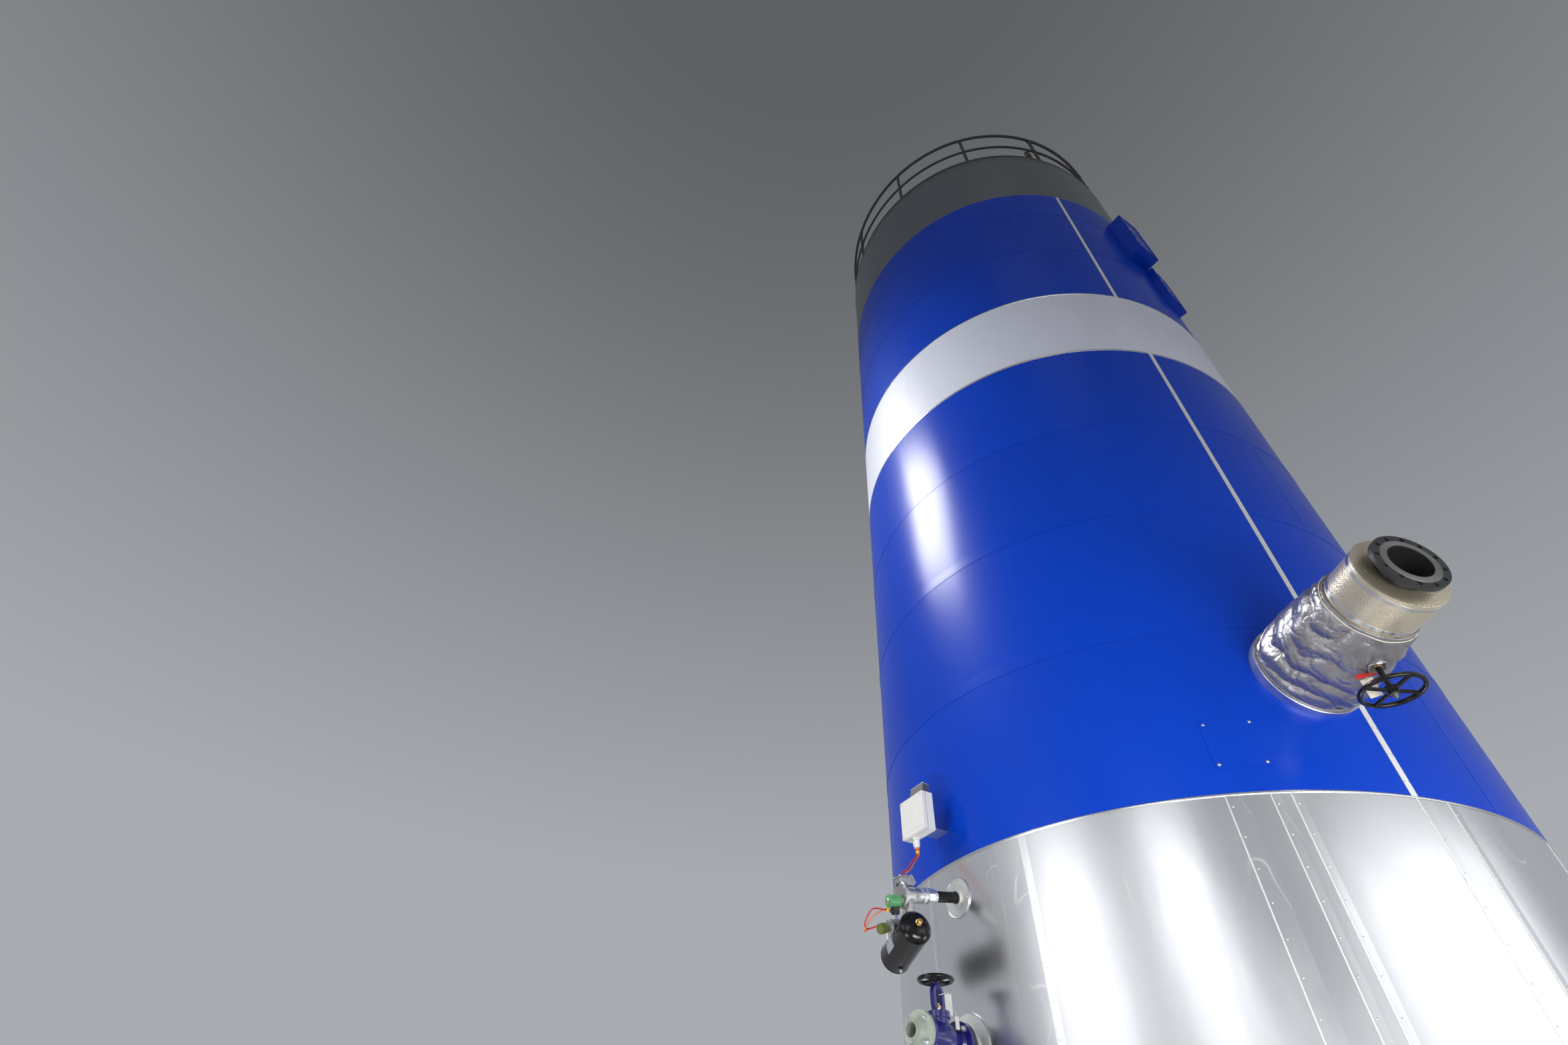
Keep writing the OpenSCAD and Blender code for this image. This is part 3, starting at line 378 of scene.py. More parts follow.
# Finish: the function that makes it, its colour, its roughness and its own settings.
RECIPES = {
    "bare_sheet": (sheet_metal, "bare", 0.25, {
        "metal": 1.0, "row_z": 0.26, "row_h": 2.99, "sheet_w": 1.35, "ripple": 0.0085,
        "tone": 0.08, "scratches": 0.5}),
    "blue_sheet": (sheet_metal, "blue", 0.34, {
        "metal": 0.0, "row_z": 3.22, "row_h": 1.036, "sheet_w": 2.1, "ripple": 0.0022,
        "tone": 0.05, "grime": (0.05, 0.09, 0.30), "gloss": 0.03, "coat": 0.35}),
    "white_sheet": (sheet_metal, "white", 0.40, {
        "metal": 0.0, "row_z": 7.4, "row_h": 2.0, "sheet_w": 2.1, "ripple": 0.0016,
        "tone": 0.03, "grime": (0.3, 0.3, 0.3)}),
    # The casing's dark grey is painted reflection: the bare metal band darkened to the dark
    # surroundings it reflects.
    "casing_steel": (sheet_metal, "casing", 0.38, {
        "metal": 0.9, "row_z": 11.1, "row_h": 1.4, "sheet_w": 1.5, "ripple": 0.0025,
        "tone": 0.14}),
    # Pale, less metallic sheet: own colour of the cover strips; on the rosettes and the bare
    # seams' folds it paints reflection and highlight.
    "rosette_sheet": (plain_metal, "rosette", 0.46, {"grain_scale": 30.0, "metal": 0.75}),
    "machined": (plain_metal, "machined", 0.48, {}),
    "galvanised": (plain_metal, "galvanised", 0.42, {}),
    "bright_steel": (plain_metal, "bright", 0.22, {}),
    "brass": (plain_metal, "brass", 0.26, {}),
    "cast_aluminium": (plain_metal, "cast", 0.40, {"grain_scale": 240.0, "grain": 0.0006}),
    "black_steel": (painted, "steel", 0.42, {"grain": 0.0004, "worn": 0.5, "coat": 0.1}),
    "valve_blue": (painted, "enamel", 0.26, {
        "grain": 0.0007, "grain_scale": 45.0, "worn": 0.25, "coat": 0.35}),
    "black_enamel": (painted, "gloss", 0.17, {
        "grain": 0.00015, "grain_scale": 30.0, "gloss": 0.26, "coat": 0.12}),
    "flange_green": (painted, "flange", 0.46, {"grain": 0.0006, "worn": 0.4}),
    "green_plastic": (painted, "green", 0.34, {}),
    "olive": (painted, "olive", 0.42, {}),
    "white_plastic": (painted, "plastic", 0.38, {"grain_scale": 20.0}),
    # Also paints the shade in the lid screws' slots.
    "black_plastic": (painted, "black", 0.42, {}),
    "label": (painted, "label", 0.30, {"grain": 0.00005}),
    "red": (painted, "red", 0.40, {}),
    "orange": (painted, "orange", 0.40, {}),
    "yellow": (painted, "yellow", 0.40, {}),
    "tag": (painted, "tag", 0.60, {}),
    "jacket_cloth": (cloth_finish, "cloth", 0.24, {}),
    "stucco_sheet": (stucco_finish, "stucco", 0.22, {}),
    "tread_sheet": (tread_finish, "bare", 0.22, {}),
}

FINISHES = {}


def make_finishes():
    """Makes every material once and keeps it by its name."""
    for name, (recipe, colour, rough, settings) in RECIPES.items():
        FINISHES[name] = recipe(name, tuple(getattr(colours(), colour)), rough, **settings)


def dress_nodes(**finishes):
    """Gives CAD nodes, named in one string for each finish, their material."""
    for finish, names in finishes.items():
        for name in names.split():
            NODES[name].data.materials.clear()
            NODES[name].data.materials.append(FINISHES[finish])


# ---------------------------------------------------------------- mesh building

AXIS = Matrix.Identity(4)  # the vessel's axis
CREASE = math.radians(32.0)  # edges sharper than this stay sharp


def turn(axis, degrees):
    return Matrix.Rotation(math.radians(degrees), 4, axis)


def shift(x=0.0, y=0.0, z=0.0):
    return Matrix.Translation((x, y, z))


OUTWARD = turn("Y", 90)  # turns local Z to point along X
UPSIDE_DOWN = turn("X", 180)


def wall(angle, z):
    """A place on the cladding: X points out of the vessel, Y runs round it, Z is up."""
    return turn("Z", angle) @ shift(x=sizes().vessel_r, z=z)


def angles(count):
    """Angles in radians, evenly round a full turn."""
    return [FULL_TURN * i / count for i in range(count)]


def polar(radius, angle, height=0.0):
    """A point at a radius and an angle in radians about local Z."""
    return Vector((radius * math.cos(angle), radius * math.sin(angle), height))


def ring_points(place, radius, z, count):
    return [place @ polar(radius, a, z) for a in angles(count)]


def on_ring(count, radius, phase=0.5):
    """Places on a circle round local Z, each turned with its X outward."""
    return [turn("Z", (i + phase) * 360 / count) @ shift(x=radius) for i in range(count)]


def corners(a, b):
    return [(i, j) for i in (-a, a) for j in (-b, b)]


class Piece:
    """Collects shapes in one mesh, then becomes an object that rides on a body."""

    def __init__(self, name, *slots, body="boiler"):
        self.name = name
        self.slots = slots
        self.body = body
        self.mesh = bmesh.new()

    def skin(self, rings, material=0, round_ring=True, loop=False, cap=False):
        """Skins a list of rings of points: loop joins the last to the first, cap closes both."""
        made = [[self.mesh.verts.new(p) for p in ring] for ring in rings]
        if loop:
            made.append(made[0])
        count = len(rings[0])
        for a, b in zip(made, made[1:]):
            for i in range(count if round_ring else count - 1):
                j = (i + 1) % count
                self.mesh.faces.new((a[i], a[j], b[j], b[i])).material_index = material
        if cap:
            self.mesh.faces.new(list(reversed(made[0]))).material_index = material
            self.mesh.faces.new(made[-1]).material_index = material
        return made

    def lathe(self, place, profile, around=24, material=0, start=0.0, sweep=FULL_TURN):
        """Turns a profile of (radius, height) about local Z. Radius 0 at an end closes it."""
        full = sweep == FULL_TURN
        steps = around if full else around + 1
        foot, head = profile[0][0] == 0, profile[-1][0] == 0
        rings = [[place @ polar(r, start + sweep * i / around, h) for i in range(steps)]
                 for r, h in profile[foot:len(profile) - head]]
        made = self.skin(rings, material, full)
        for closed, ring, (_, h), step in ((foot, made[0], profile[0], -1),
                                           (head, made[-1], profile[-1], 1)):
            if closed:
                tip = self.mesh.verts.new(place @ Vector((0, 0, h)))
                for i in range(around):
                    pair = (ring[i], ring[(i + 1) % steps])[::step]
                    self.mesh.faces.new((*pair, tip)).material_index = material

    def solid(self, place, outline, around=24, material=0):
        """Turns an outline of (radius, height) that is flat and closed at both ends."""
        self.lathe(place, [(0, outline[0][1]), *outline, (0, outline[-1][1])], around, material)

    def block(self, place, size, bevel=0.001, material=0):
        """A box with rounded edges, centred on place in X and Y, standing on it in Z."""
        sx, sy, sz = (s / 2 for s in size)
        b = min(bevel, sx * 0.45, sy * 0.45, sz * 0.45)
        rings = []
        for z, inset in ((-sz, b), (-sz + b, 0), (sz - b, 0), (sz, b)):
            w, d = sx - inset, sy - inset
            c = max(b - inset, b * 0.35)
            ring = [(w - c, -d), (w, -d + c), (w, d - c), (w - c, d),
                    (-w + c, d), (-w, d - c), (-w, -d + c), (-w + c, -d)]
            rings.append([place @ Vector((x, y, z + sz)) for x, y in ring])
        self.skin(rings, material, cap=True)

    def tube(self, points, radius, around=12, material=0, closed=False):
        """A round bar along a line of points; its radius may follow a function of the share."""
        points = [Vector(p) for p in points]
        count = len(points)
        rings, side = [], None
        for i, p in enumerate(points):
            a = points[(i - 1) % count] if closed or i else p
            b = points[(i + 1) % count] if closed or i < count - 1 else p
            along = (b - a).normalized()
            side = (side - along * side.dot(along) if side else along.orthogonal()).normalized()
            up = along.cross(side)
            r = radius(i / (count - 1)) if callable(radius) else radius
            rings.append([p + (side * math.cos(k) + up * math.sin(k)) * r
                          for k in angles(around)])
        self.skin(rings, material, loop=closed, cap=not closed)

    def pin(self, place, radius, heights, around=12, material=0):
        """A round pin: the heights of its foot, its shoulder and the middle of its domed end."""
        foot, shoulder, top = heights
        self.lathe(place, [(0, foot), (radius, foot), (radius, shoulder), (0, top)], around,
                   material)

    def hexagon(self, place, across, height, material=0):
        """A hexagon head or nut with a turned chamfer."""
        r = across / math.sqrt(3)
        self.solid(place, [(r, 0), (r, height * 0.82), (r * 0.86, height)], 6, material)

    def washer(self, place, radius, thickness, material=0):
        self.solid(place, [(radius, 0), (radius, thickness * 0.8), (radius * 0.95, thickness)],
                   20, material)

    def bolt(self, place, d, thread=False, material=0):
        """A washer, a hexagon head and, where it shows, the thread's end."""
        self.washer(place, d, d * 0.16, material)
        self.hexagon(place @ shift(z=d * 0.15), d * 1.6, d * 0.65, material)
        if thread:
            self.solid(place, [(d * 0.5, d * 0.7), (d * 0.5, d * 0.72), (d * 0.42, d * 0.8)],
                       14, material)

    def rivet(self, place, radius=None, material=0):
        r = radius or sizes().rivet_r
        self.lathe(place, [(r, 0), (r * 0.92, r * 0.28), (r * 0.6, r * 0.48),
                           (r * 0.3, r * 0.5), (r * 0.22, r * 0.36), (0, r * 0.36)], 10, material)

    def weld(self, points, radius, material=0, seed=1):
        """A weld bead: a bar with uneven ripples."""
        draw = random.Random(seed)
        last = len(points) - 1
        wave = [0.82 + 0.18 * math.sin(i * 1.9) + draw.uniform(-0.06, 0.06)
                for i in range(len(points))]
        self.tube(points, lambda t: radius * wave[min(int(t * last), last)], 8, material)

    def done(self):
        """Makes the object."""
        bmesh.ops.remove_doubles(self.mesh, verts=self.mesh.verts, dist=1e-7)
        bmesh.ops.recalc_face_normals(self.mesh, faces=self.mesh.faces)
        for face in self.mesh.faces:
            face.smooth = True
        for edge in self.mesh.edges:
            if len(edge.link_faces) == 2 and edge.calc_face_angle(0) > CREASE:
                edge.smooth = False
        made = new_object(self.name, self.mesh, self.slots)
        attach(made, self.body)
        return made


def new_object(name, mesh, slots):
    """Turns a bmesh into an object in the scene, with its materials."""
    data = bpy.data.meshes.new(name)
    mesh.to_mesh(data)
    mesh.free()
    for slot in slots:
        data.materials.append(FINISHES[slot])
    made = bpy.data.objects.new(name, data)
    bpy.context.scene.collection.objects.link(made)
    return made


# ---------------------------------------------------------------- cladding

# Where the fittings leave the cladding: angle and height.
OUTLET = (-60.2, 3.952)
DRAIN = (-126.1, 2.329)
CLEANER = (-125.7, 3.049)
DRAIN_YAW = 13.0
CLEANER_SLOPE = 9.0
# Radii of the collar and the rosettes round them, and how far the drain's stands aside.
COLLAR_R = 0.284
DRAIN_ROSETTE_R = 0.153
DRAIN_ROSETTE_ASIDE = 0.031
CLEANER_ROSETTE_R = 0.106
# From the blue sheet's face in to the bare sheet and the casing, and out to the cover strips.
STEP_IN = 0.003
STRIP_OUT = 0.0033


def outlet_place():
    return wall(*OUTLET)


def drain_place():
    return wall(*DRAIN) @ turn("Z", DRAIN_YAW)


def cleaner_place():
    return wall(*CLEANER) @ turn("Y", CLEANER_SLOPE)


def drain_rosette():
    """The angle and height of the drain's rosette, which stands a little aside of the nozzle."""
    return DRAIN[0] - math.degrees(DRAIN_ROSETTE_ASIDE / sizes().vessel_r), DRAIN[1]


def covered(angle, z, margin=0.02):
    """True where a fitting on the wall covers that place."""
    return any(
        math.hypot(math.radians(angle - a) * sizes().vessel_r, z - height) < radius + margin
        for (a, height), radius in ((OUTLET, COLLAR_R), (drain_rosette(), DRAIN_ROSETTE_R),
                                    (CLEANER, CLEANER_ROSETTE_R)))


def free_runs(angle, z_low, z_high, step=0.02, shortest=0.05):
    """Stretches of an upright line that no fitting covers."""
    runs, begin, z = [], None, z_low
    while z <= z_high + 1e-9:
        if covered(angle, z):
            if begin is not None:
                runs.append((begin, z - step))
                begin = None
        elif begin is None:
            begin = z
        z += step
    if begin is not None:
        runs.append((begin, z_high))
    return [run for run in runs if run[1] - run[0] > shortest]


def vertical_lap(piece, angle, r, z_low, z_high, width, lip, fold=0):
    """The free edge of a sheet that laps over its neighbour, with its fold in its own material."""
    steps = max(2, int((z_high - z_low) / 0.4))
    profile = ((0.0, -0.0004), (0.0, lip), (0.006, lip), (width * 0.4, lip * 0.7), (width, 0.0001))
    rings = []
    for i in range(steps + 1):
        z = z_low + (z_high - z_low) * i / steps
        wander = 0.0012 * noise.noise(Vector((angle, z * 0.9, 3.0)))
        rings.append([polar(r + high, math.radians(angle) + (across + wander) / r, z)
                      for across, high in profile])
    before = len(piece.mesh.faces)
    piece.skin(rings, round_ring=False)
    strips = len(profile) - 1
    for i, face in enumerate(list(piece.mesh.faces)[before:]):
        if i % strips < 2:
            face.material_index = fold


def rivet_line(piece, angle, r, z_low, z_high):
    z = z_low + sizes().rivet_step * 0.5
    while z < z_high:
        if not covered(angle, z, 0.03):
            piece.rivet(turn("Z", angle) @ shift(x=r, z=z) @ OUTWARD)
        z += sizes().rivet_step


class BOILER_OT_clad_vessel(bpy.types.Operator):
    """Finishes the cladding and adds its laps, edges, seams, rivets and screws"""

    bl_idname = "boiler.clad_vessel"
    bl_label = "Clad vessel"

    BARE_SEAMS = (-157.0, -134.0, -111.0, -80.0, -71.3, -48.2, -22.0, 5.0, 32.0, 60.0, 88.0,
                  115.0, 143.0, 171.0)
    THIN_SEAMS = (-74.0, -53.3)
    # Blue sheets: the angle of the first upright seam and the heights of the laps.
    BLUE_ROWS = {"blue_cladding_lower": (-98.0, (4.26, 5.296, 6.328)),
                 "blue_cladding_upper": (-92.0, (9.50, 10.50))}
    BLUE_SHEETS = 6
    LAP_H = 0.09
    STRIPS = (-53.5, 66.5, 186.5)
    PLATE_ANGLE, PLATE_Z, PLATE_SCREW = -75.7, 3.521, 0.115
    # The boxes on the side: angle and depth.
    SIDE_BOXES = {"upper_side_box": (-30.5, 0.160), "lower_side_box": (-24.0, 0.070)}

    def execute(self, context):
        make_finishes()
        # The rosettes' pale sheet is painted reflection; the cover strips' pale sheet is their own
        # colour.
        dress_nodes(
            bare_sheet="bare_cladding nozzle_collar",
            rosette_sheet="cover_strips_lower cover_strips_upper drain_rosette cleaning_rosette",
            blue_sheet="blue_cladding_lower blue_cladding_upper screwed_plate upper_side_box "
                       "lower_side_box",
            white_sheet="white_band", casing_steel="top_casing")
        s = sizes()
        self.blue_laps(s)
        self.bare_seams(s)
        self.blue_seams(s)
        self.edges(s)
        self.plate_screws(s)
        self.box_details(s)
        return {"FINISHED"}

    def blue_laps(self, s):
        """Each blue row's lower edge laps over the row below: proud at its edge, flush above."""
        piece = Piece("blue_laps", "blue_sheet")
        r = s.vessel_r
        for z in (z for _, laps in self.BLUE_ROWS.values() for z in laps):
            start, sweep = self.open_arc(z)
            piece.lathe(AXIS, [(r - 0.0004, z), (r + s.lip, z), (r + s.lip, z + 0.004),
                               (r + s.lip * 0.7, z + self.LAP_H * 0.4),
                               (r + 0.0002, z + self.LAP_H)], 240, start=start, sweep=sweep)
        piece.done()

    def open_arc(self, z, reach=0.30):
        """Where a lap starts and how far it sweeps: it leaves out the outlet's collar."""
        drop = abs(z - OUTLET[1])
        if drop >= reach:
            return 0.0, FULL_TURN
        half = math.sqrt(reach ** 2 - drop ** 2) / sizes().vessel_r
        return math.radians(OUTLET[0]) + half, FULL_TURN - 2 * half

    def bare_seams(self, s):
        r = s.vessel_r - STEP_IN
        low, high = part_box("bare_cladding")
        piece = Piece("bare_sheet_seams", "bare_sheet", "rosette_sheet")
        for angle in self.BARE_SEAMS + self.THIN_SEAMS:
            lip = s.lip * (1.3 if angle in self.BARE_SEAMS else 0.7)
            for run in free_runs(angle, low.z + 0.004, high.z - 0.002):
                # The folds take the pale sheet: a painted highlight line along each bare seam's
                # edge.
                vertical_lap(piece, angle, r, *run, 0.045, lip, fold=1)
            rivet_line(piece, angle + 0.6, r + lip * 0.6, low.z, high.z)
        piece.done()

    def blue_seams(self, s):
        """Staggered upright laps of the blue sheets, and rivets along the cover strips."""
        piece = Piece("blue_sheet_seams", "blue_sheet")
        for node, (first, laps) in self.BLUE_ROWS.items():
            low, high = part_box(node)
            levels = (low.z, *laps, high.z)
            for i, (z0, z1) in enumerate(zip(levels, levels[1:])):
                for k in range(self.BLUE_SHEETS):
                    angle = first + 360.0 / self.BLUE_SHEETS * k + 23.0 * (i % 2)
                    for run in free_runs(angle, z0 + 0.002, z1 - 0.002):
                        vertical_lap(piece, angle, s.vessel_r, *run, 0.05, s.lip * 0.6)
                    rivet_line(piece, angle + 0.7, s.vessel_r + s.lip * 0.4, z0, z1)
        piece.done()
        strips = Piece("cover_strip_rivets", "bright_steel")
        for node in ("cover_strips_lower", "cover_strips_upper"):
            low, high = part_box(node)
            for angle in self.STRIPS:
                for side in (-0.35, 0.35):
                    rivet_line(strips, angle + side, s.vessel_r + STRIP_OUT, low.z, high.z)
        strips.done()

    def edges(self, s):
        """Folded edges: the joints between the colours, the casing's edges and the foot."""
        piece = Piece("bright_edges", "bright_steel")
        inner = s.vessel_r - STEP_IN
        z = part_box("blue_cladding_lower")[0].z
        profiles = [[(inner, z - 0.008), (inner + 0.0045, z - 0.008), (inner + 0.0055, z - 0.003),
                     (inner + 0.0045, z + 0.002), (inner, z + 0.002)]]
        for node, r in (("white_band", s.vessel_r), ("top_casing", inner)):
            for z in (corner.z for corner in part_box(node)):
                profiles.append([(r - 0.0004, z - 0.009), (r + 0.0016, z - 0.008),
                                 (r + 0.0022, z), (r + 0.0016, z + 0.008),
                                 (r - 0.0004, z + 0.009)])
        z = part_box("bare_cladding")[0].z
        profiles.append([(inner - 0.012, z + 0.001), (inner - 0.002, z - 0.002),
                         (inner + 0.0018, z + 0.001), (inner + 0.0018, z + 0.012),
                         (inner - 0.0004, z + 0.016)])
        for profile in profiles:
            piece.lathe(AXIS, profile, 360)
        piece.done()

    def plate_screws(self, s):
        """Screws in the corners of the cover plate."""
        piece = Piece("plate_screws", "bright_steel")
        for dy, dz in corners(self.PLATE_SCREW, self.PLATE_SCREW):
            angle = self.PLATE_ANGLE + math.degrees(dy / s.vessel_r)
            place = turn("Z", angle) @ shift(x=s.vessel_r + STRIP_OUT,
                                             z=self.PLATE_Z + dz) @ OUTWARD
            piece.washer(place, 0.0085, 0.0012)
            piece.rivet(place @ shift(z=0.001), 0.0062)
        piece.done()

    def box_details(self, s):
        """Folded lids, rivets and hinges of the two boxes on the side."""
        piece = Piece("side_box_trim", "blue_sheet", "bright_steel")
        rivets = 6
        for node, (angle, depth) in self.SIDE_BOXES.items():
            low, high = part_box(node)
            tall = high.z - low.z
            front = turn("Z", angle) @ shift(x=s.vessel_r + depth, z=(low.z + high.z) / 2)
            for side in (-1, 1):
                piece.block(front @ shift(x=0.0035, y=side * 0.142, z=-tall / 2 + 0.006),
                            (0.007, 0.016, tall - 0.012), 0.002)
                piece.block(front @ shift(x=0.0035, z=side * (tall / 2 - 0.013) - 0.008),
                            (0.007, 0.27, 0.016), 0.002)
                for k in range(rivets):
                    z = (k - (rivets - 1) / 2) * (tall - 0.06) / (rivets - 1)
                    piece.rivet(front @ shift(x=0.007, y=side * 0.142, z=z) @ OUTWARD, 0.004, 1)
            for z in (-tall * 0.33, 0.0, tall * 0.33):
                piece.tube([front @ Vector((0.008, -0.152, z + end)) for end in (-0.03, 0.03)],
                           0.006, 10, 1)
        piece.done()


# ---------------------------------------------------------------- base


class BOILER_OT_dress_base(bpy.types.Operator):
    """Finishes the base and adds anchor bolts and weld beads"""

    bl_idname = "boiler.dress_base"
    bl_label = "Dress base"

    ANCHORS, ANCHOR_CIRCLE_R = 12, 1.925
    GUSSET_Y = 0.069
    BEAD_R, BEAD_STEP = 0.0042, 0.006
    SHELL_R = 1.852

    def execute(self, context):
        dress_nodes(black_steel="base_ring anchor_chairs pressure_shell bottom_plate")
        bolts = Piece("anchor_bolts", "galvanised")
        welds = Piece("chair_welds", "black_steel")
        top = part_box("anchor_chairs")[1].z
        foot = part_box("base_ring")[1].z
        for i, place in enumerate(on_ring(self.ANCHORS, self.ANCHOR_CIRCLE_R)):
            bolts.washer(place @ shift(z=top), 0.040, 0.006)
            bolts.hexagon(place @ shift(z=top + 0.006), 0.050, 0.019)
            bolts.hexagon(place @ shift(z=top + 0.0255), 0.046, 0.010)
            bolts.solid(place, [(0.0145, foot + 0.002), (0.0145, top + 0.036),
                                (0.0125, top + 0.0385)], 18)
            bolts.washer(place @ shift(z=foot), 0.032, 0.005)
            for y in (-self.GUSSET_Y, self.GUSSET_Y):
                welds.weld([place @ Vector((-0.072 + self.BEAD_STEP * k, y, foot + 0.002))
                            for k in range(19)], self.BEAD_R, seed=i)
                welds.weld([place @ Vector((-0.0745, y, foot + self.BEAD_STEP * k))
                            for k in range(1, 29)], self.BEAD_R, seed=i + 50)
        bolts.done()
        welds.tube(ring_points(AXIS, self.SHELL_R, foot + 0.003, 900), 0.0045, 8, closed=True)
        welds.done()
        return {"FINISHED"}


# ---------------------------------------------------------------- roof


class BOILER_OT_dress_roof(bpy.types.Operator):
    """Finishes the roof, its railing and valves, and adds their clamps, bolts and brackets"""

    bl_idname = "boiler.dress_roof"
    bl_label = "Dress roof"

    POSTS, POST_ANGLE, RAIL_R = 12, -109.5, 1.9667
    # The posts' radius, and above the roof the height and radius of each rail's clamp.
    POST_R, CLAMPS = 0.0212, ((0.517, 0.026), (0.984, 0.027))
    TOE_R, EDGE_RIVETS = 1.992, 72
    # Angle, height and pipe radius of the two valves, and how far out they stand.
    VALVES = ((-45.0, 1.25, 0.038), (-34.0, 1.02, 0.026))
    VALVE_AT = 1.76

    def execute(self, context):
        dress_nodes(tread_sheet="roof_plate",
                    black_steel="toe_ring rail_posts mid_rail top_rail safety_valve vent_valve")
        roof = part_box("roof_plate")[1].z
        self.railing(roof)
        self.roof_edge(roof)
        self.valves(roof)
        return {"FINISHED"}

    def railing(self, roof):
        piece = Piece("rail_fittings", "black_steel", "galvanised")
        for i in range(self.POSTS):
            post = turn("Z", self.POST_ANGLE + i * 360 / self.POSTS) @ shift(x=self.RAIL_R, z=roof)
            piece.block(post @ shift(x=-0.034, z=0.0004), (0.118, 0.11, 0.009), 0.002)
            for y in (-0.042, 0.042, 0.0):
                piece.bolt(post @ shift(x=-0.078, y=y, z=0.0094), 0.010, material=1)
            for z, r in self.CLAMPS:
                piece.lathe(post @ shift(z=z), [(self.POST_R, 0), (r, 0.003), (r, 0.030),
                                                (self.POST_R, 0.034)])
            piece.weld(ring_points(post, 0.0225, 0.0115, 24), 0.003, seed=i)
            piece.block(post @ shift(x=0.022, z=0.035), (0.004, 0.05, 0.03))
            piece.bolt(post @ shift(x=0.024, z=0.05) @ OUTWARD, 0.007, material=1)
        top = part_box("toe_ring")[1].z
        piece.tube(ring_points(AXIS, self.TOE_R, top, 360), 0.004, 8, closed=True)
        piece.done()

    def roof_edge(self, roof):
        """The angle that folds over the roof's edge, with its rivets."""
        # The roof edge's sheet is the casing's, darkened as painted reflection.
        rim = Piece("roof_edge_angle", "casing_steel", "bright_steel")
        rim.lathe(AXIS, [(1.9972, roof - 0.052), (2.0, roof - 0.052), (2.0012, roof - 0.03),
                         (2.0, roof - 0.004), (1.996, roof + 0.0012), (1.9925, roof + 0.0012)],
                  360)
        for k in on_ring(self.EDGE_RIVETS, sizes().vessel_r + 0.0008, 0.4):
            rim.rivet(k @ shift(z=roof - 0.03) @ OUTWARD, 0.005, 1)
        rim.done()

    def valves(self, roof):
        """Flange bolts, bonnet nut, lever cap and rolled welds of the valves on the roof."""
        piece = Piece("roof_valve_fittings", "galvanised", "brass", "black_steel")
        for angle, height, pipe_r in self.VALVES:
            place = turn("Z", angle) @ shift(x=self.VALVE_AT, z=roof)
            side = place @ shift(y=-pipe_r * 3 - pipe_r * 0.6, z=height * 0.55) @ turn("X", 90)
            for k in on_ring(4, pipe_r * 2 * 0.78):
                piece.bolt(place @ k @ shift(z=pipe_r * 0.6), pipe_r * 0.28, True)
                piece.bolt(place @ k @ shift(z=height * 0.4 + pipe_r * 0.9), pipe_r * 0.28, True)
                piece.bolt(place @ k @ shift(z=height * 0.4) @ UPSIDE_DOWN, pipe_r * 0.28, True)
                piece.bolt(side @ k, pipe_r * 0.26, True)
            piece.hexagon(place @ shift(z=height * 0.86), pipe_r * 2.3, pipe_r * 0.9, 1)
            piece.pin(place @ shift(z=height), pipe_r * 0.8, (-0.004, 0.004, 0.006), 24, 2)
            for share in (0.6, 0.68, 0.76):
                r = pipe_r * (1.3 - 0.5 * (share - 0.55) / 0.35)
                piece.weld(ring_points(place, r + 0.001, height * share, 40), 0.0025, 2)
        piece.done()


# ---------------------------------------------------------------- outlet

SPINDLE_X = 0.440  # from the cladding to the outlet valve's spindle
JACKET_START, JACKET_L = 0.0425, 0.567  # from the cladding to the jacket's foot, and its length


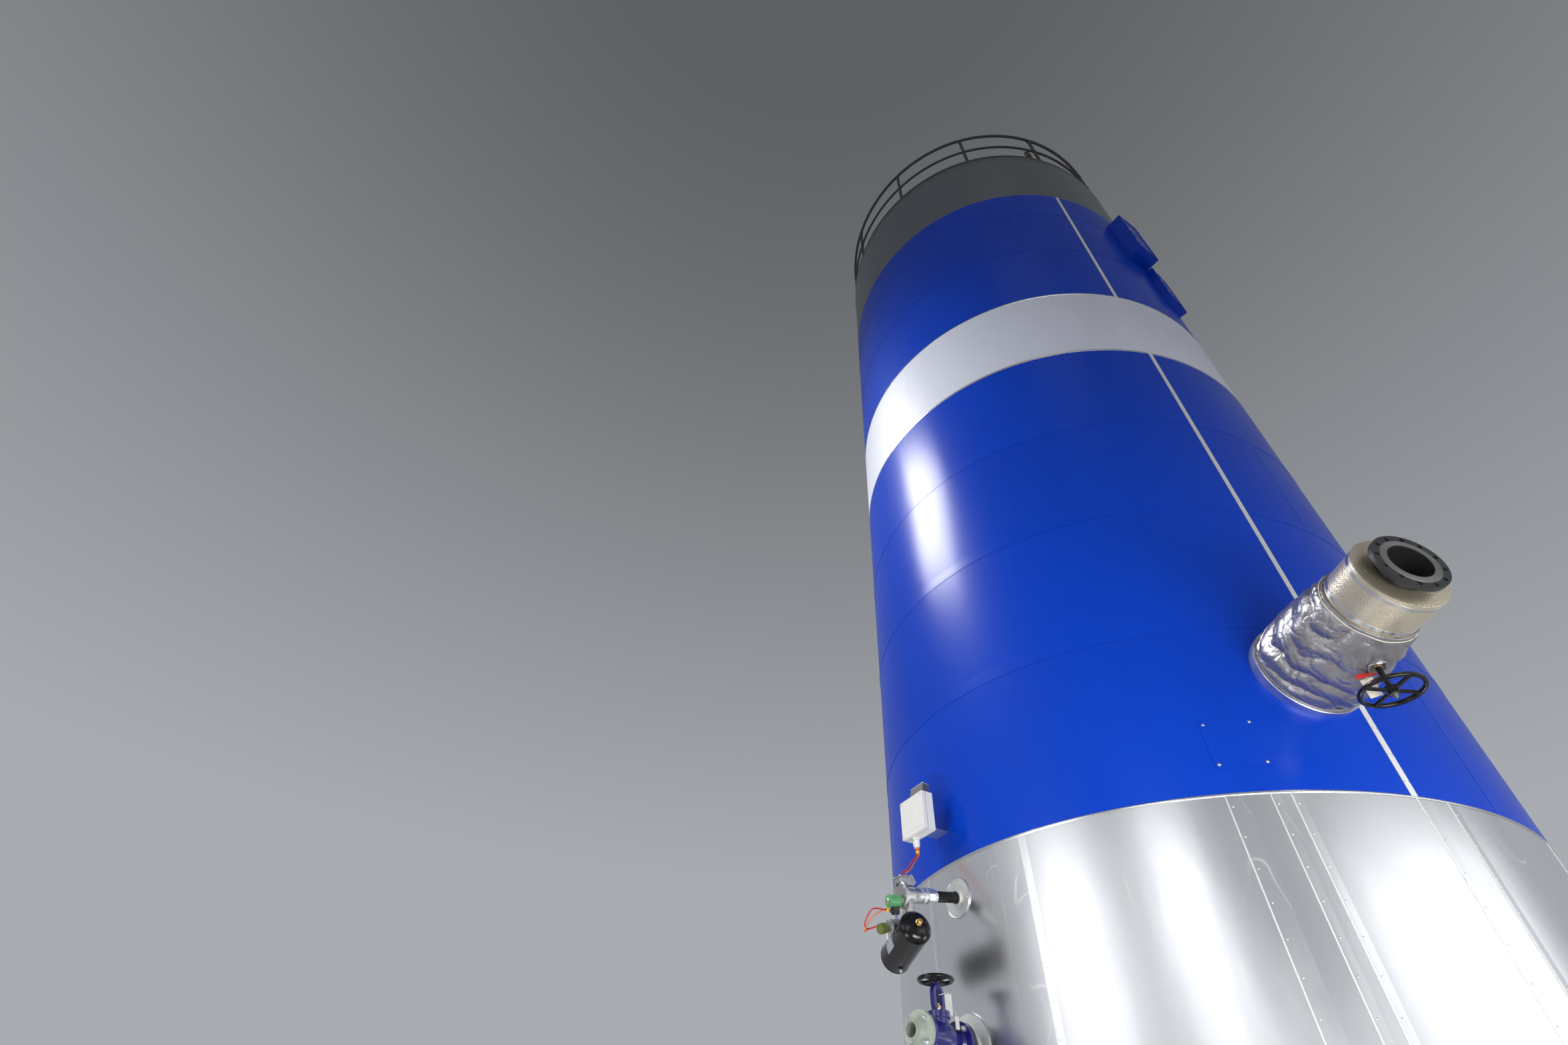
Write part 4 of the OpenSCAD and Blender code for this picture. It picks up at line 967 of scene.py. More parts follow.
class BOILER_OT_dress_outlet(bpy.types.Operator):
    """Finishes the outlet's pipe, valve and wheel, and adds bolts, bands and edges"""

    bl_idname = "boiler.dress_outlet"
    bl_label = "Dress outlet"

    LAGGING_START, LAGGING_L, LAGGING_R = 0.5923, 0.250, 0.215
    JOINT_X, CIRCLE_R, BOLTS = 0.555, 0.1475, 12
    STUD_R, STUD_HALF, NUT_OUT = 0.010, 0.052, 0.024  # lengths from the joint's middle
    FACE_X = 0.9263
    GROOVES = (0.108, 0.113, 0.118, 0.123, 0.128)
    WHEEL_DROP = 0.401

    def execute(self, context):
        dress_nodes(black_steel="outlet_nozzle outlet_stub", valve_blue="outlet_valve",
                    black_enamel="outlet_handwheel", stucco_sheet="outlet_lagging")
        place = outlet_place()
        out = place @ OUTWARD
        self.collar(out)
        self.lagging(out)
        self.bolting(out)
        self.end_face(out)
        self.wheel(place)
        return {"FINISHED"}

    def collar(self, out):
        """The collar's rolled edge and its rivets."""
        piece = Piece("outlet_collar_trim", "bare_sheet", "bright_steel")
        piece.lathe(out, [(0.2838, 0.030), (0.2862, 0.031), (0.2870, 0.036), (0.2862, 0.041),
                          (0.2838, 0.0428), (0.276, 0.0424)], 120)
        for k in on_ring(14, 0.268):
            piece.rivet(out @ k @ shift(z=0.042), 0.004, 1)
        piece.done()

    def lagging(self, out):
        """Bands with their buckles, the riveted seam and the end cap of the clad pipe."""
        piece = Piece("lagging_bands", "bright_steel", "stucco_sheet")
        start, r = self.LAGGING_START, self.LAGGING_R
        end = start + self.LAGGING_L
        for x in (start + 0.045, end - 0.03):
            piece.lathe(out, [(r - 0.0003, x - 0.010), (r + 0.0008, x - 0.010),
                              (r + 0.0008, x + 0.010), (r - 0.0003, x + 0.010)], 96)
            piece.block(out @ turn("Z", 128) @ shift(x=r + 0.002, z=x - 0.008),
                        (0.005, 0.026, 0.016))
        low, high, rivets = start + 0.012, end - 0.006, 6
        for k in range(rivets):
            z = low + (high - low) * (k + 0.5) / rivets
            piece.rivet(out @ turn("Z", 118) @ shift(x=r + 0.0005, z=z) @ OUTWARD, 0.0036)
        piece.lathe(out, [(r - 0.004, end - 0.003), (r + 0.0012, end - 0.002),
                          (r + 0.0014, end + 0.001), (r - 0.003, end + 0.0018),
                          (0.112, end + 0.0008)], 96, 1)
        for k in on_ring(6, 0.165):
            piece.rivet(out @ k @ shift(z=end + 0.0012), 0.0036)
        piece.done()

    def bolting(self, out):
        """Studs and nuts of the joint behind the valve."""
        piece = Piece("outlet_bolting", "galvanised")
        joint = self.JOINT_X
        for k in on_ring(self.BOLTS, self.CIRCLE_R):
            piece.solid(out @ k, [(self.STUD_R, joint - self.STUD_HALF),
                                  (self.STUD_R, joint + self.STUD_HALF)], 12)
            piece.hexagon(out @ k @ shift(z=joint + self.NUT_OUT), 0.030, 0.016)
            piece.hexagon(out @ k @ shift(z=joint - self.NUT_OUT) @ UPSIDE_DOWN, 0.030, 0.016)
        piece.done()

    def end_face(self, out):
        """The end flange's raised face with its grooves, and the weld behind it."""
        piece = Piece("outlet_raised_face", "machined", "black_steel")
        tip = self.FACE_X
        piece.lathe(out, [(0.1015, tip - 0.004), (0.1015, tip + 0.002), (0.132, tip + 0.002),
                          (0.134, tip + 0.0005), (0.134, tip - 0.001)], 96)
        for r in self.GROOVES:
            piece.lathe(out, [(r - 0.0010, tip + 0.0019), (r, tip + 0.0024),
                              (r + 0.0010, tip + 0.0019)], 72)
        piece.weld(ring_points(out, 0.1105, tip - 0.0255, 90), 0.0035, 1, 4)
        piece.done()

    def wheel(self, place):
        """The nut under the wheel, and the gland where the spindle leaves the jacket."""
        hub = place @ shift(x=SPINDLE_X, z=-self.WHEEL_DROP)
        down = hub @ UPSIDE_DOWN
        piece = Piece("outlet_wheel_nut", "machined", body="outlet_wheel")
        piece.washer(down @ shift(z=0.020), 0.017, 0.002)
        piece.hexagon(down @ shift(z=0.022), 0.024, 0.011)
        piece.solid(down, [(0.008, 0.031), (0.008, 0.039), (0.0065, 0.041)], 14)
        piece.done()
        gland = Piece("outlet_gland", "brass")
        gland.lathe(hub @ shift(z=0.128), [(0.0145, 0), (0.021, 0), (0.023, 0.004),
                                           (0.023, 0.020), (0.0145, 0.022)])
        gland.done()


# ---------------------------------------------------------------- jacket


class BOILER_OT_sew_jacket(bpy.types.Operator):
    """Sews the quilted jacket as cloth over the outlet valve, with its hem, strap and tag"""

    bl_idname = "boiler.sew_jacket"
    bl_label = "Sew jacket"

    # Share of the jacket's length against its radius: a barrel drawn in on the pipe.
    OUTLINE = ((0.0, 0.258), (0.02, 0.279), (0.14, 0.284), (0.35, 0.279), (0.58, 0.268),
               (0.79, 0.256), (0.93, 0.240), (1.0, 0.222))
    # Share of the length, angle from the spindle, reach, depth and number of pleats.
    GATHERS = ((0.70, 0.0, 0.105, 0.014, 13), (0.10, -1.25, 0.060, 0.009, 9),
               (0.86, 0.55, 0.070, 0.009, 9), (0.52, -2.1, 0.050, 0.006, 7),
               (0.30, 1.7, 0.055, 0.007, 7))
    # The hidden ends turn in to these radii, and the cloth stays within the CAD sleeve's.
    FOOT_R, HEAD_R, MOST_R = 0.20, 0.2155, 0.288
    MEAN_R = 0.28  # sets how many points go round
    FRAMES = 20
    FARTHEST = 0.010  # how far the simulation may move a point
    CUFF_DROP = 0.262  # from the pipe's axis to the cuff round the spindle

    def execute(self, context):
        place = outlet_place()
        out = place @ OUTWARD
        cloth = self.cloth(out)
        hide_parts("valve_jacket")
        self.hems(out)
        self.strap(place)
        return {"FINISHED"}

    def outline(self, share):
        for (a, ra), (b, rb) in zip(self.OUTLINE, self.OUTLINE[1:]):
            if share <= b:
                t = (share - a) / (b - a)
                return ra + (rb - ra) * (t * t * (3 - 2 * t) * 0.5 + t * 0.5)
        return self.OUTLINE[-1][1]

    def folds(self, share, angle):
        """How far the cloth stands in from its fullest there: folds, creases and gathers."""
        away = angle % FULL_TURN - math.pi  # from the spindle's side, half a turn round
        spindle = (SPINDLE_X - JACKET_START) / JACKET_L
        around = polar(1.0, angle)
        # The folds run round the barrel, crowd together at the gather and wander elsewhere.
        crowd = 0.75 + 1.5 * math.exp(-(away / 0.75) ** 2)
        wander = 0.19 * noise.noise(around * 1.1 + Vector((0, 0, share * 1.4 + 2.0)))
        wander += 0.05 * noise.noise(around * 3.4 + Vector((0, 0, share * 4.0 + 7.0)))
        phase = (spindle + (share - spindle) * crowd + wander) * counts().quilt_rows
        bulge = abs(math.sin(math.pi * phase)) ** 0.6
        swell = 0.5 + 0.9 * noise.noise(around * 1.7 + Vector((0, 0, share * 3.1 + 11.0)))
        gathered = 0.45 * math.exp(-(away / 0.7) ** 2)
        inset = sizes().quilt_depth * min(1.0, max(0.12, swell) + gathered) * (1.0 - bulge)
        # Slanting creases, sharp ones and small ones.
        slant = Vector((share * 7.0 + away * 1.3, away * 2.6 - share * 2.0, 4.0))
        inset += 0.0045 * (1.0 - min(1.0, abs(noise.noise(slant)) * 6.0)) ** 2
        small = Vector((share * 21.0 - away * 2.0, away * 7.0, 9.0))
        inset += 0.0016 * (1.0 - min(1.0, abs(noise.noise(small)) * 5.0)) ** 2
        # Pleats run in towards the gathers.
        for at_share, at_away, reach, height, count in self.GATHERS:
            dx = (share - at_share) * JACKET_L
            dy = (away - at_away) * 0.27
            near = math.exp(-(dx * dx + dy * dy) / reach ** 2)
            wave = math.sin(math.atan2(dy, dx) * count
                            + 2.0 * noise.noise(Vector((dx * 20, dy * 20, 1.0))))
            inset += near * height * (0.8 + 0.7 * wave)
        return inset

    def cloth(self, out):
        """A closed skin with folds, let settle as cloth so that its creases round off."""
        edge = sizes().cloth_edge
        around = int(FULL_TURN * self.MEAN_R / edge)
        along = int(JACKET_L / edge)
        mesh = bmesh.new()

        def ring(radius_at, x):
            return [mesh.verts.new(out @ polar(radius_at(a), a, x)) for a in angles(around)]

        rings = [ring(lambda a: self.outline(share) - self.folds(share, a),
                      JACKET_START + JACKET_L * share)
                 for share in (j / along for j in range(along + 1))]
        for a, b in zip(rings, rings[1:]):
            for i in range(around):
                k = (i + 1) % around
                mesh.faces.new([a[i], a[k], b[k], b[i]])
        for end, x, inner in ((rings[0], JACKET_START, self.FOOT_R),
                              (rings[-1], JACKET_START + JACKET_L, self.HEAD_R)):
            turned = ring(lambda a: inner, x)
            for i in range(around):
                k = (i + 1) % around
                mesh.faces.new([end[k], end[i], turned[i], turned[k]])
        bmesh.ops.recalc_face_normals(mesh, faces=mesh.faces)
        for face in mesh.faces:
            face.smooth = True
        made = new_object("jacket_cloth", mesh, ("jacket_cloth",))
        self.settle(made, out)
        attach(made, "boiler")
        return made

    def settle(self, made, out):
        """A short cloth simulation with pressure, pinned at the hems and along the fold lines."""
        back = out.inverted()
        pins = made.vertex_groups.new(name="pins")
        for v in made.data.vertices:
            local = back @ v.co
            share = (local.z - JACKET_START) / JACKET_L
            r = math.hypot(local.x, local.y)
            inset = self.outline(max(0.0, min(1.0, share))) - r
            hem = share < 0.03 or share > 0.97 or r < 0.235 and share > 0.9
            weight = 1.0 if hem else min(1.0, max(0.0, inset / 0.016)) ** 2 * 0.9
            pins.add([v.index], weight, "REPLACE")
        before = [v.co.copy() for v in made.data.vertices]
        scene = bpy.context.scene
        scene.frame_start, scene.frame_end = 1, self.FRAMES
        modifier = made.modifiers.new("cloth", "CLOTH")
        settings = modifier.settings
        settings.quality = 6
        settings.mass = 0.5
        settings.tension_stiffness = 18
        settings.compression_stiffness = 6
        settings.shear_stiffness = 6
        settings.bending_stiffness = 0.3
        settings.vertex_group_mass = "pins"
        settings.use_pressure = True
        settings.uniform_pressure_force = 4.0
        settings.effector_weights.gravity = 0.0
        modifier.collision_settings.use_collision = False
        modifier.point_cache.frame_start, modifier.point_cache.frame_end = 1, self.FRAMES
        for number in range(1, self.FRAMES + 1):
            scene.frame_set(number)
        graph = bpy.context.evaluated_depsgraph_get()
        moved = [v.co.copy() for v in made.evaluated_get(graph).data.vertices]
        made.modifiers.remove(modifier)
        scene.frame_set(1)
        for v, a, b in zip(made.data.vertices, before, moved):
            step = b - a
            if step.length > self.FARTHEST:
                step *= self.FARTHEST / step.length
            v.co = a + step
            local = back @ (a + step)
            r = math.hypot(local.x, local.y)
            if r > self.MOST_R:
                v.co = out @ Vector((local.x * self.MOST_R / r, local.y * self.MOST_R / r,
                                     local.z))

    def hems(self, out):
        """Rolled hems at both ends and the drawstring."""
        head = JACKET_START + JACKET_L
        piece = Piece("jacket_hems", "jacket_cloth", "tag")
        for x, r, thick in ((JACKET_START + 0.004, 0.266, 0.0065), (head - 0.003, 0.222, 0.0055)):
            points = []
            for a in angles(240):
                ripple = 0.0022 * noise.noise(polar(9, a, x * 20))
                points.append(out @ polar(r + ripple, a, x + ripple))
            piece.tube(points, thick, 10, closed=True)
        piece.tube([out @ polar(0.2285, a, head - 0.018 + 0.002 * math.sin(a * 9))
                    for a in angles(180)], 0.0024, 8, 1, closed=True)
        piece.done()

    def strap(self, place):
        """The gathered cuff at the spindle's opening, the red strap and the cream tag."""
        piece = Piece("jacket_strap", "red", "tag", "bright_steel", "jacket_cloth")
        hub = place @ shift(x=SPINDLE_X, z=-self.CUFF_DROP)
        for phase, r in ((0.0, 0.040), (1.3, 0.036)):
            cuff = [hub @ Vector(((r + 0.003 * math.sin(5 * a + phase)) * math.cos(a),
                                  (r + 0.003 * math.cos(4 * a)) * math.sin(a),
                                  -0.004 + 0.006 * phase + 0.003 * math.sin(3 * a)))
                    for a in angles(60)]
            piece.tube(cuff, 0.0065, 8, 3, closed=True)
        ribbon = []
        for t in (i / 12 for i in range(13)):
            middle = Vector((-0.048 - 0.010 * t, 0.022 - 0.112 * t,
                             -0.007 - 0.030 * t ** 1.6 + 0.003 * math.sin(9 * t)))
            lean = 0.3 + 0.5 * t
            wide = Vector((math.cos(lean), 0.0, math.sin(lean))) * 0.012
            thick = Vector((-math.sin(lean), 0.0, math.cos(lean))) * 0.0012
            ribbon.append([hub @ (middle + wide * a + thick * b)
                           for a, b in ((-1, -1), (1, -1), (1, 1), (-1, 1))])
        piece.skin(ribbon, cap=True)
        card = hub @ shift(x=-0.085, y=-0.012, z=-0.121) @ turn("Z", 44) @ turn("X", 6)
        piece.block(card, (0.056, 0.002, 0.100), 0.0008, 1)
        piece.pin(card @ shift(y=-0.0013, z=0.092) @ turn("X", 90), 0.0045, (0, 0.001, 0.0012),
                  14, 2)
        piece.tube([card @ Vector((0.0, 0.0, 0.094)), card @ Vector((0.003, 0.006, 0.106)),
                    hub @ Vector((-0.050, 0.000, -0.008))], 0.0012, 6, 1)
        piece.done()


# ---------------------------------------------------------------- drain


def rosette_trim(piece, angle, z, radius, screw_radius, first_screw):
    """A rosette's rolled rim, which follows the vessel's curve, and its four screws."""
    vessel_r = sizes().vessel_r
    bare_r = vessel_r - STEP_IN
    rim = []
    for a in angles(120):
        turned = math.radians(angle) + math.asin(radius * math.cos(a) / vessel_r)
        rim.append(polar(bare_r + 0.0047, turned, z + radius * math.sin(a)))
    piece.tube(rim, 0.0030, 8, closed=True)
    for a in (math.radians(first_screw + 90 * k) for k in range(4)):
        turned = angle + math.degrees(math.asin(screw_radius * math.cos(a) / vessel_r))
        place = turn("Z", turned) @ shift(x=bare_r + 0.0044, z=z + screw_radius * math.sin(a))
        piece.rivet(place @ OUTWARD, 0.0046, 1)


class BOILER_OT_dress_drain(bpy.types.Operator):
    """Finishes the drain and adds its bolts, gland, rolled edges and tags"""

    bl_idname = "boiler.dress_drain"
    bl_label = "Dress drain"

    NEAR, FAR, CIRCLE_R = 0.108, 0.398, 0.0725  # the valve's faces and its bolt circle
    MIDDLE = 0.253
    BONNET_Z, WHEEL_H = 0.096, 0.254

    def execute(self, context):
        dress_nodes(black_steel="drain_nozzle", valve_blue="drain_valve drain_yoke",
                    black_enamel="drain_handwheel", flange_green="drain_counter_flange")
        place = drain_place()
        middle = place @ shift(x=self.MIDDLE)
        self.bolting(place @ OUTWARD)
        self.gland(middle)
        self.rosette()
        self.wheel(place)
        self.tags(middle)
        return {"FINISHED"}

    def bolting(self, out):
        """Studs, washers and nuts of both flange joints, their gaskets and the nozzle's weld."""
        bolts = Piece("drain_bolting", "galvanised")
        for joint in (self.NEAR, self.FAR):
            for k in on_ring(4, self.CIRCLE_R):
                bolts.solid(out @ k, [(0.008, joint - 0.041), (0.008, joint + 0.043),
                                      (0.007, joint + 0.045)], 14)
                bolts.washer(out @ k @ shift(z=joint + 0.0203), 0.0145, 0.0024)
                bolts.hexagon(out @ k @ shift(z=joint + 0.0225), 0.024, 0.012)
                inner = out @ k @ shift(z=joint - 0.0206) @ UPSIDE_DOWN
                bolts.washer(inner, 0.0145, 0.0024)
                bolts.hexagon(inner @ shift(z=0.0022), 0.024, 0.012)
        bolts.done()
        gaskets = Piece("drain_gaskets", "black_plastic")
        for joint in (self.NEAR, self.FAR):
            gaskets.lathe(out, [(0.034, joint - 0.0016), (0.0602, joint - 0.0016),
                                (0.0602, joint + 0.0016), (0.034, joint + 0.0016)], 48)
        gaskets.weld(ring_points(out, 0.0392, self.NEAR - 0.0212, 60), 0.003, seed=8)
        gaskets.done()

    def gland(self, middle):
        """The bonnet's nuts, the gland's nut and collar, and the nut under the wheel."""
        piece = Piece("drain_gland", "brass", "galvanised")
        base = middle @ shift(z=self.BONNET_Z + 0.0134)
        for k in on_ring(4, 0.044):
            piece.hexagon(base @ k, 0.015, 0.008, 1)
            piece.pin(base @ k, 0.0045, (0.007, 0.011, 0.0118), material=1)
        neck = middle @ shift(z=self.BONNET_Z + 0.028)
        piece.hexagon(neck, 0.026, 0.015)
        piece.solid(neck @ shift(z=0.015), [(0.010, 0), (0.0095, 0.008)], 20)
        piece.hexagon(middle @ shift(z=self.WHEEL_H - 0.023), 0.030, 0.006)
        piece.done()

    def rosette(self):
        piece = Piece("drain_rosette_rim", "bare_sheet", "bright_steel")
        rosette_trim(piece, *drain_rosette(), DRAIN_ROSETTE_R, 0.136, 40)
        piece.done()

    def wheel(self, place):
        hub = place @ shift(x=self.MIDDLE, z=self.WHEEL_H)
        piece = Piece("drain_wheel_nut", "bright_steel", body="drain_wheel")
        piece.washer(hub @ shift(z=0.011), 0.012, 0.0016)
        piece.hexagon(hub @ shift(z=0.0126), 0.019, 0.008)
        piece.done()

    def tags(self, middle):
        """Two cards on a ring round the top of the yoke."""
        piece = Piece("drain_tags", "white_plastic")
        piece.tube([middle @ Vector((-0.034 + 0.019 * math.cos(a), 0.017 * math.sin(a),
                                     0.196 - 0.008 * math.cos(a))) for a in angles(40)],
                   0.0020, 8, closed=True)
        for at, size in (((-0.062, 0.020, 0.102), (0.0016, 0.034, 0.094)),
                         ((-0.078, 0.050, 0.040), (0.0014, 0.020, 0.056))):
            card = middle @ shift(*at) @ turn("Z", 41) @ turn("Y", 5)
            piece.block(card, size, 0.0006)
            piece.tube([card @ Vector((0, 0, size[2] - 0.004)),
                        card @ Vector((0.003, 0.0, size[2] + 0.010)),
                        middle @ Vector((-0.050, 0.008, 0.200))], 0.0010, 6)
        piece.done()


# ---------------------------------------------------------------- pulse cleaner


class BOILER_OT_dress_cleaner(bpy.types.Operator):
    """Finishes the pulse cleaner and adds its screws, seams, plug, label plate and fittings"""

    bl_idname = "boiler.dress_cleaner"
    bl_label = "Dress pulse cleaner"

    PULSE_X, BONNET_X = 0.363, 0.413
    COIL_DROP, COIL_START, COIL_L, COIL_R = 0.035, 0.431, 0.066, 0.032
    RECEIVER_AT, RECEIVER_TURN, RECEIVER_TILT = (0.300, -0.131, -0.259), 17.5, 6.0
    RECEIVER_R, RECEIVER_HALF = 0.085, 0.235
    FEED_AT = (0.348, -0.111, -0.182)

    def execute(self, context):
        dress_nodes(black_enamel="cleaning_nipple air_receiver", galvanised="cleaning_union",
                    cast_aluminium="pulse_valve receiver_neck", green_plastic="pulse_solenoid")
        place = cleaner_place()
        out = place @ OUTWARD
        rim = Piece("cleaning_rosette_rim", "bare_sheet", "bright_steel", "black_enamel")
        rosette_trim(rim, *CLEANER, CLEANER_ROSETTE_R, 0.092, 75)
        rim.weld(ring_points(out, 0.031, 0.020, 48), 0.003, 2, 3)
        rim.done()
        self.valve(place, out)
        self.solenoid(place)
        self.feed_valve(place)
        self.receiver()
        return {"FINISHED"}

    def valve(self, place, out):
        """The screws round the bonnet, the ears they go through, and the block on top."""
        piece = Piece("pulse_valve_screws", "bright_steel", "cast_aluminium")
        for k in on_ring(8, 0.056):
            piece.bolt(out @ k @ shift(z=self.BONNET_X - 0.001), 0.006)
        for k in on_ring(8, 0.0625, 0.0):
            piece.solid(out @ k, [(0.0075, self.PULSE_X + 0.024),
                                  (0.0075, self.PULSE_X + 0.0445)], 12, 1)
        for a in (35, 90, 145):
            rib = out @ turn("Z", a + 90) @ shift(x=0.046, z=self.PULSE_X - 0.034)
            piece.block(rib, (0.012, 0.006, 0.062), 0.002, 1)
        top = place @ shift(x=self.PULSE_X + 0.004, z=0.042)
        piece.block(top, (0.092, 0.070, 0.046), 0.004, 1)
        piece.block(top @ shift(z=0.0455), (0.096, 0.074, 0.007), 0.002, 1)
        for x, y in corners(0.039, 0.028):
            piece.bolt(top @ shift(x=x, y=y, z=0.052), 0.006)
        cover = top @ shift(x=-0.052, y=0.010, z=0.010) @ turn("Y", 24)
        piece.block(cover, (0.026, 0.050, 0.052), 0.003, 1)
        exhaust = place @ shift(x=self.PULSE_X + 0.006, y=-0.062, z=-0.012) @ turn("X", 90)
        piece.solid(exhaust, [(0.017, -0.020), (0.017, 0.010), (0.0145, 0.013), (0.010, 0.013),
                              (0.010, 0.004)], 28, 1)
        piece.done()

    def solenoid(self, place):
        """The coil's nut, end plates and the connector under it."""
        piece = Piece("solenoid_details", "bright_steel", "green_plastic", "black_plastic")
        start = self.COIL_START
        axis = place @ shift(z=-self.COIL_DROP) @ OUTWARD
        piece.hexagon(axis @ shift(z=self.BONNET_X), 0.042, 0.008)
        for z in (start - 0.0005, start + self.COIL_L - 0.0035):
            piece.solid(axis, [(self.COIL_R + 0.0022, z), (self.COIL_R + 0.0028, z + 0.002),
                               (self.COIL_R + 0.0022, z + 0.004)], 40, 1)
        end = axis @ shift(z=start + self.COIL_L)
        piece.hexagon(end, 0.022, 0.007)
        piece.pin(end, 0.005, (0.006, 0.011, 0.012))
        plug = place @ shift(x=start + self.COIL_L / 2, z=-self.COIL_DROP - self.COIL_R)
        piece.block(plug @ shift(z=-0.034), (0.037, 0.036, 0.036), 0.003, 2)
        piece.solid(plug @ shift(x=0.018, z=-0.018) @ OUTWARD,
                    [(0.0105, -0.004), (0.0105, 0.012), (0.009, 0.014)], 6, 2)
        piece.bolt(plug @ shift(z=-0.0345) @ UPSIDE_DOWN, 0.004)
        piece.done()

    def feed_valve(self, place):
        """The small valve on the receiver: cap, its ribs, the screws and two drip tubes."""
        piece = Piece("feed_valve_details", "olive", "bright_steel", "cast_aluminium",
                      "white_plastic")
        wall_place = wall(*CLEANER)
        axis = wall_place @ shift(*self.FEED_AT) @ turn("Y", 18) @ OUTWARD
        piece.solid(axis, [(0.0262, 0.098), (0.0268, 0.100), (0.0268, 0.138), (0.0245, 0.1415)],
                    32)
        for k in on_ring(24, 0.0266, 0):
            piece.block(axis @ k @ shift(z=0.103), (0.0016, 0.0030, 0.032), 0.0005)
        for k in on_ring(6, 0.0285):
            piece.bolt(axis @ k @ shift(z=0.0698), 0.0042, material=1)
        piece.solid(axis, [(0.0375, 0.050), (0.0385, 0.053), (0.0385, 0.066), (0.0365, 0.0695)],
                    40, 2)
        x, y, z = self.FEED_AT
        for drip, r, length in (
                (wall_place @ shift(x=x + 0.060, y=y - 0.030, z=z - 0.075), 0.0062, 0.040),
                (place @ shift(x=self.PULSE_X + 0.030, y=-0.034, z=-0.088), 0.0066, 0.050)):
            piece.solid(drip, [(r, 0.0), (r + 0.0008, 0.003), (r + 0.0008, length)], 16, 3)
        piece.done()

    def receiver(self):
        """The receiver's weld seams, bare label plate, end fittings and drain plug."""
        local = wall(*CLEANER) @ shift(*self.RECEIVER_AT) @ turn("Z", -self.RECEIVER_TURN) \
            @ turn("X", self.RECEIVER_TILT - 90)
        piece = Piece("receiver_details", "black_enamel", "label", "brass", "bright_steel")
        seam = self.RECEIVER_HALF - self.RECEIVER_R * 0.5
        for z in (-seam, seam):
            piece.weld(ring_points(local, self.RECEIVER_R + 0.0002, z, 140), 0.0020, 0, 5)
        r = self.RECEIVER_R + 0.0006
        plate = [[local @ polar(q, math.radians(-16 + 42 * i / 12), z)
                  for q, z in ((r - 0.0005, -0.076), (r, -0.075), (r, 0.034), (r - 0.0005, 0.035))]
                 for i in range(13)]
        piece.skin(plate, 1, round_ring=False)
        end = local @ shift(z=self.RECEIVER_HALF + 0.014)
        piece.hexagon(end, 0.032, 0.012, 2)
        piece.solid(end, [(0.011, 0.012), (0.011, 0.024), (0.0135, 0.024), (0.0135, 0.034),
                          (0.0095, 0.036), (0.0075, 0.044), (0.005, 0.044), (0.005, 0.030)],
                    20, 2)
        plug = local @ shift(y=self.RECEIVER_R - 0.001, z=-0.12) @ turn("X", -90)
        piece.solid(plug, [(0.013, 0), (0.013, 0.008)])
        piece.hexagon(plug @ shift(z=0.008), 0.020, 0.009, 3)
        piece.pin(plug, 0.0055, (0.016, 0.024, 0.025), material=3)
        union = local @ shift(y=-self.RECEIVER_R + 0.004, z=0.165) @ turn("X", 90)
        piece.hexagon(union, 0.024, 0.020, 2)
        piece.solid(union, [(0.009, 0.019), (0.009, 0.030)], 18, 2)
        piece.hexagon(local @ shift(z=-self.RECEIVER_HALF - 0.014) @ UPSIDE_DOWN, 0.030, 0.010, 3)
        piece.done()


# ---------------------------------------------------------------- junction box


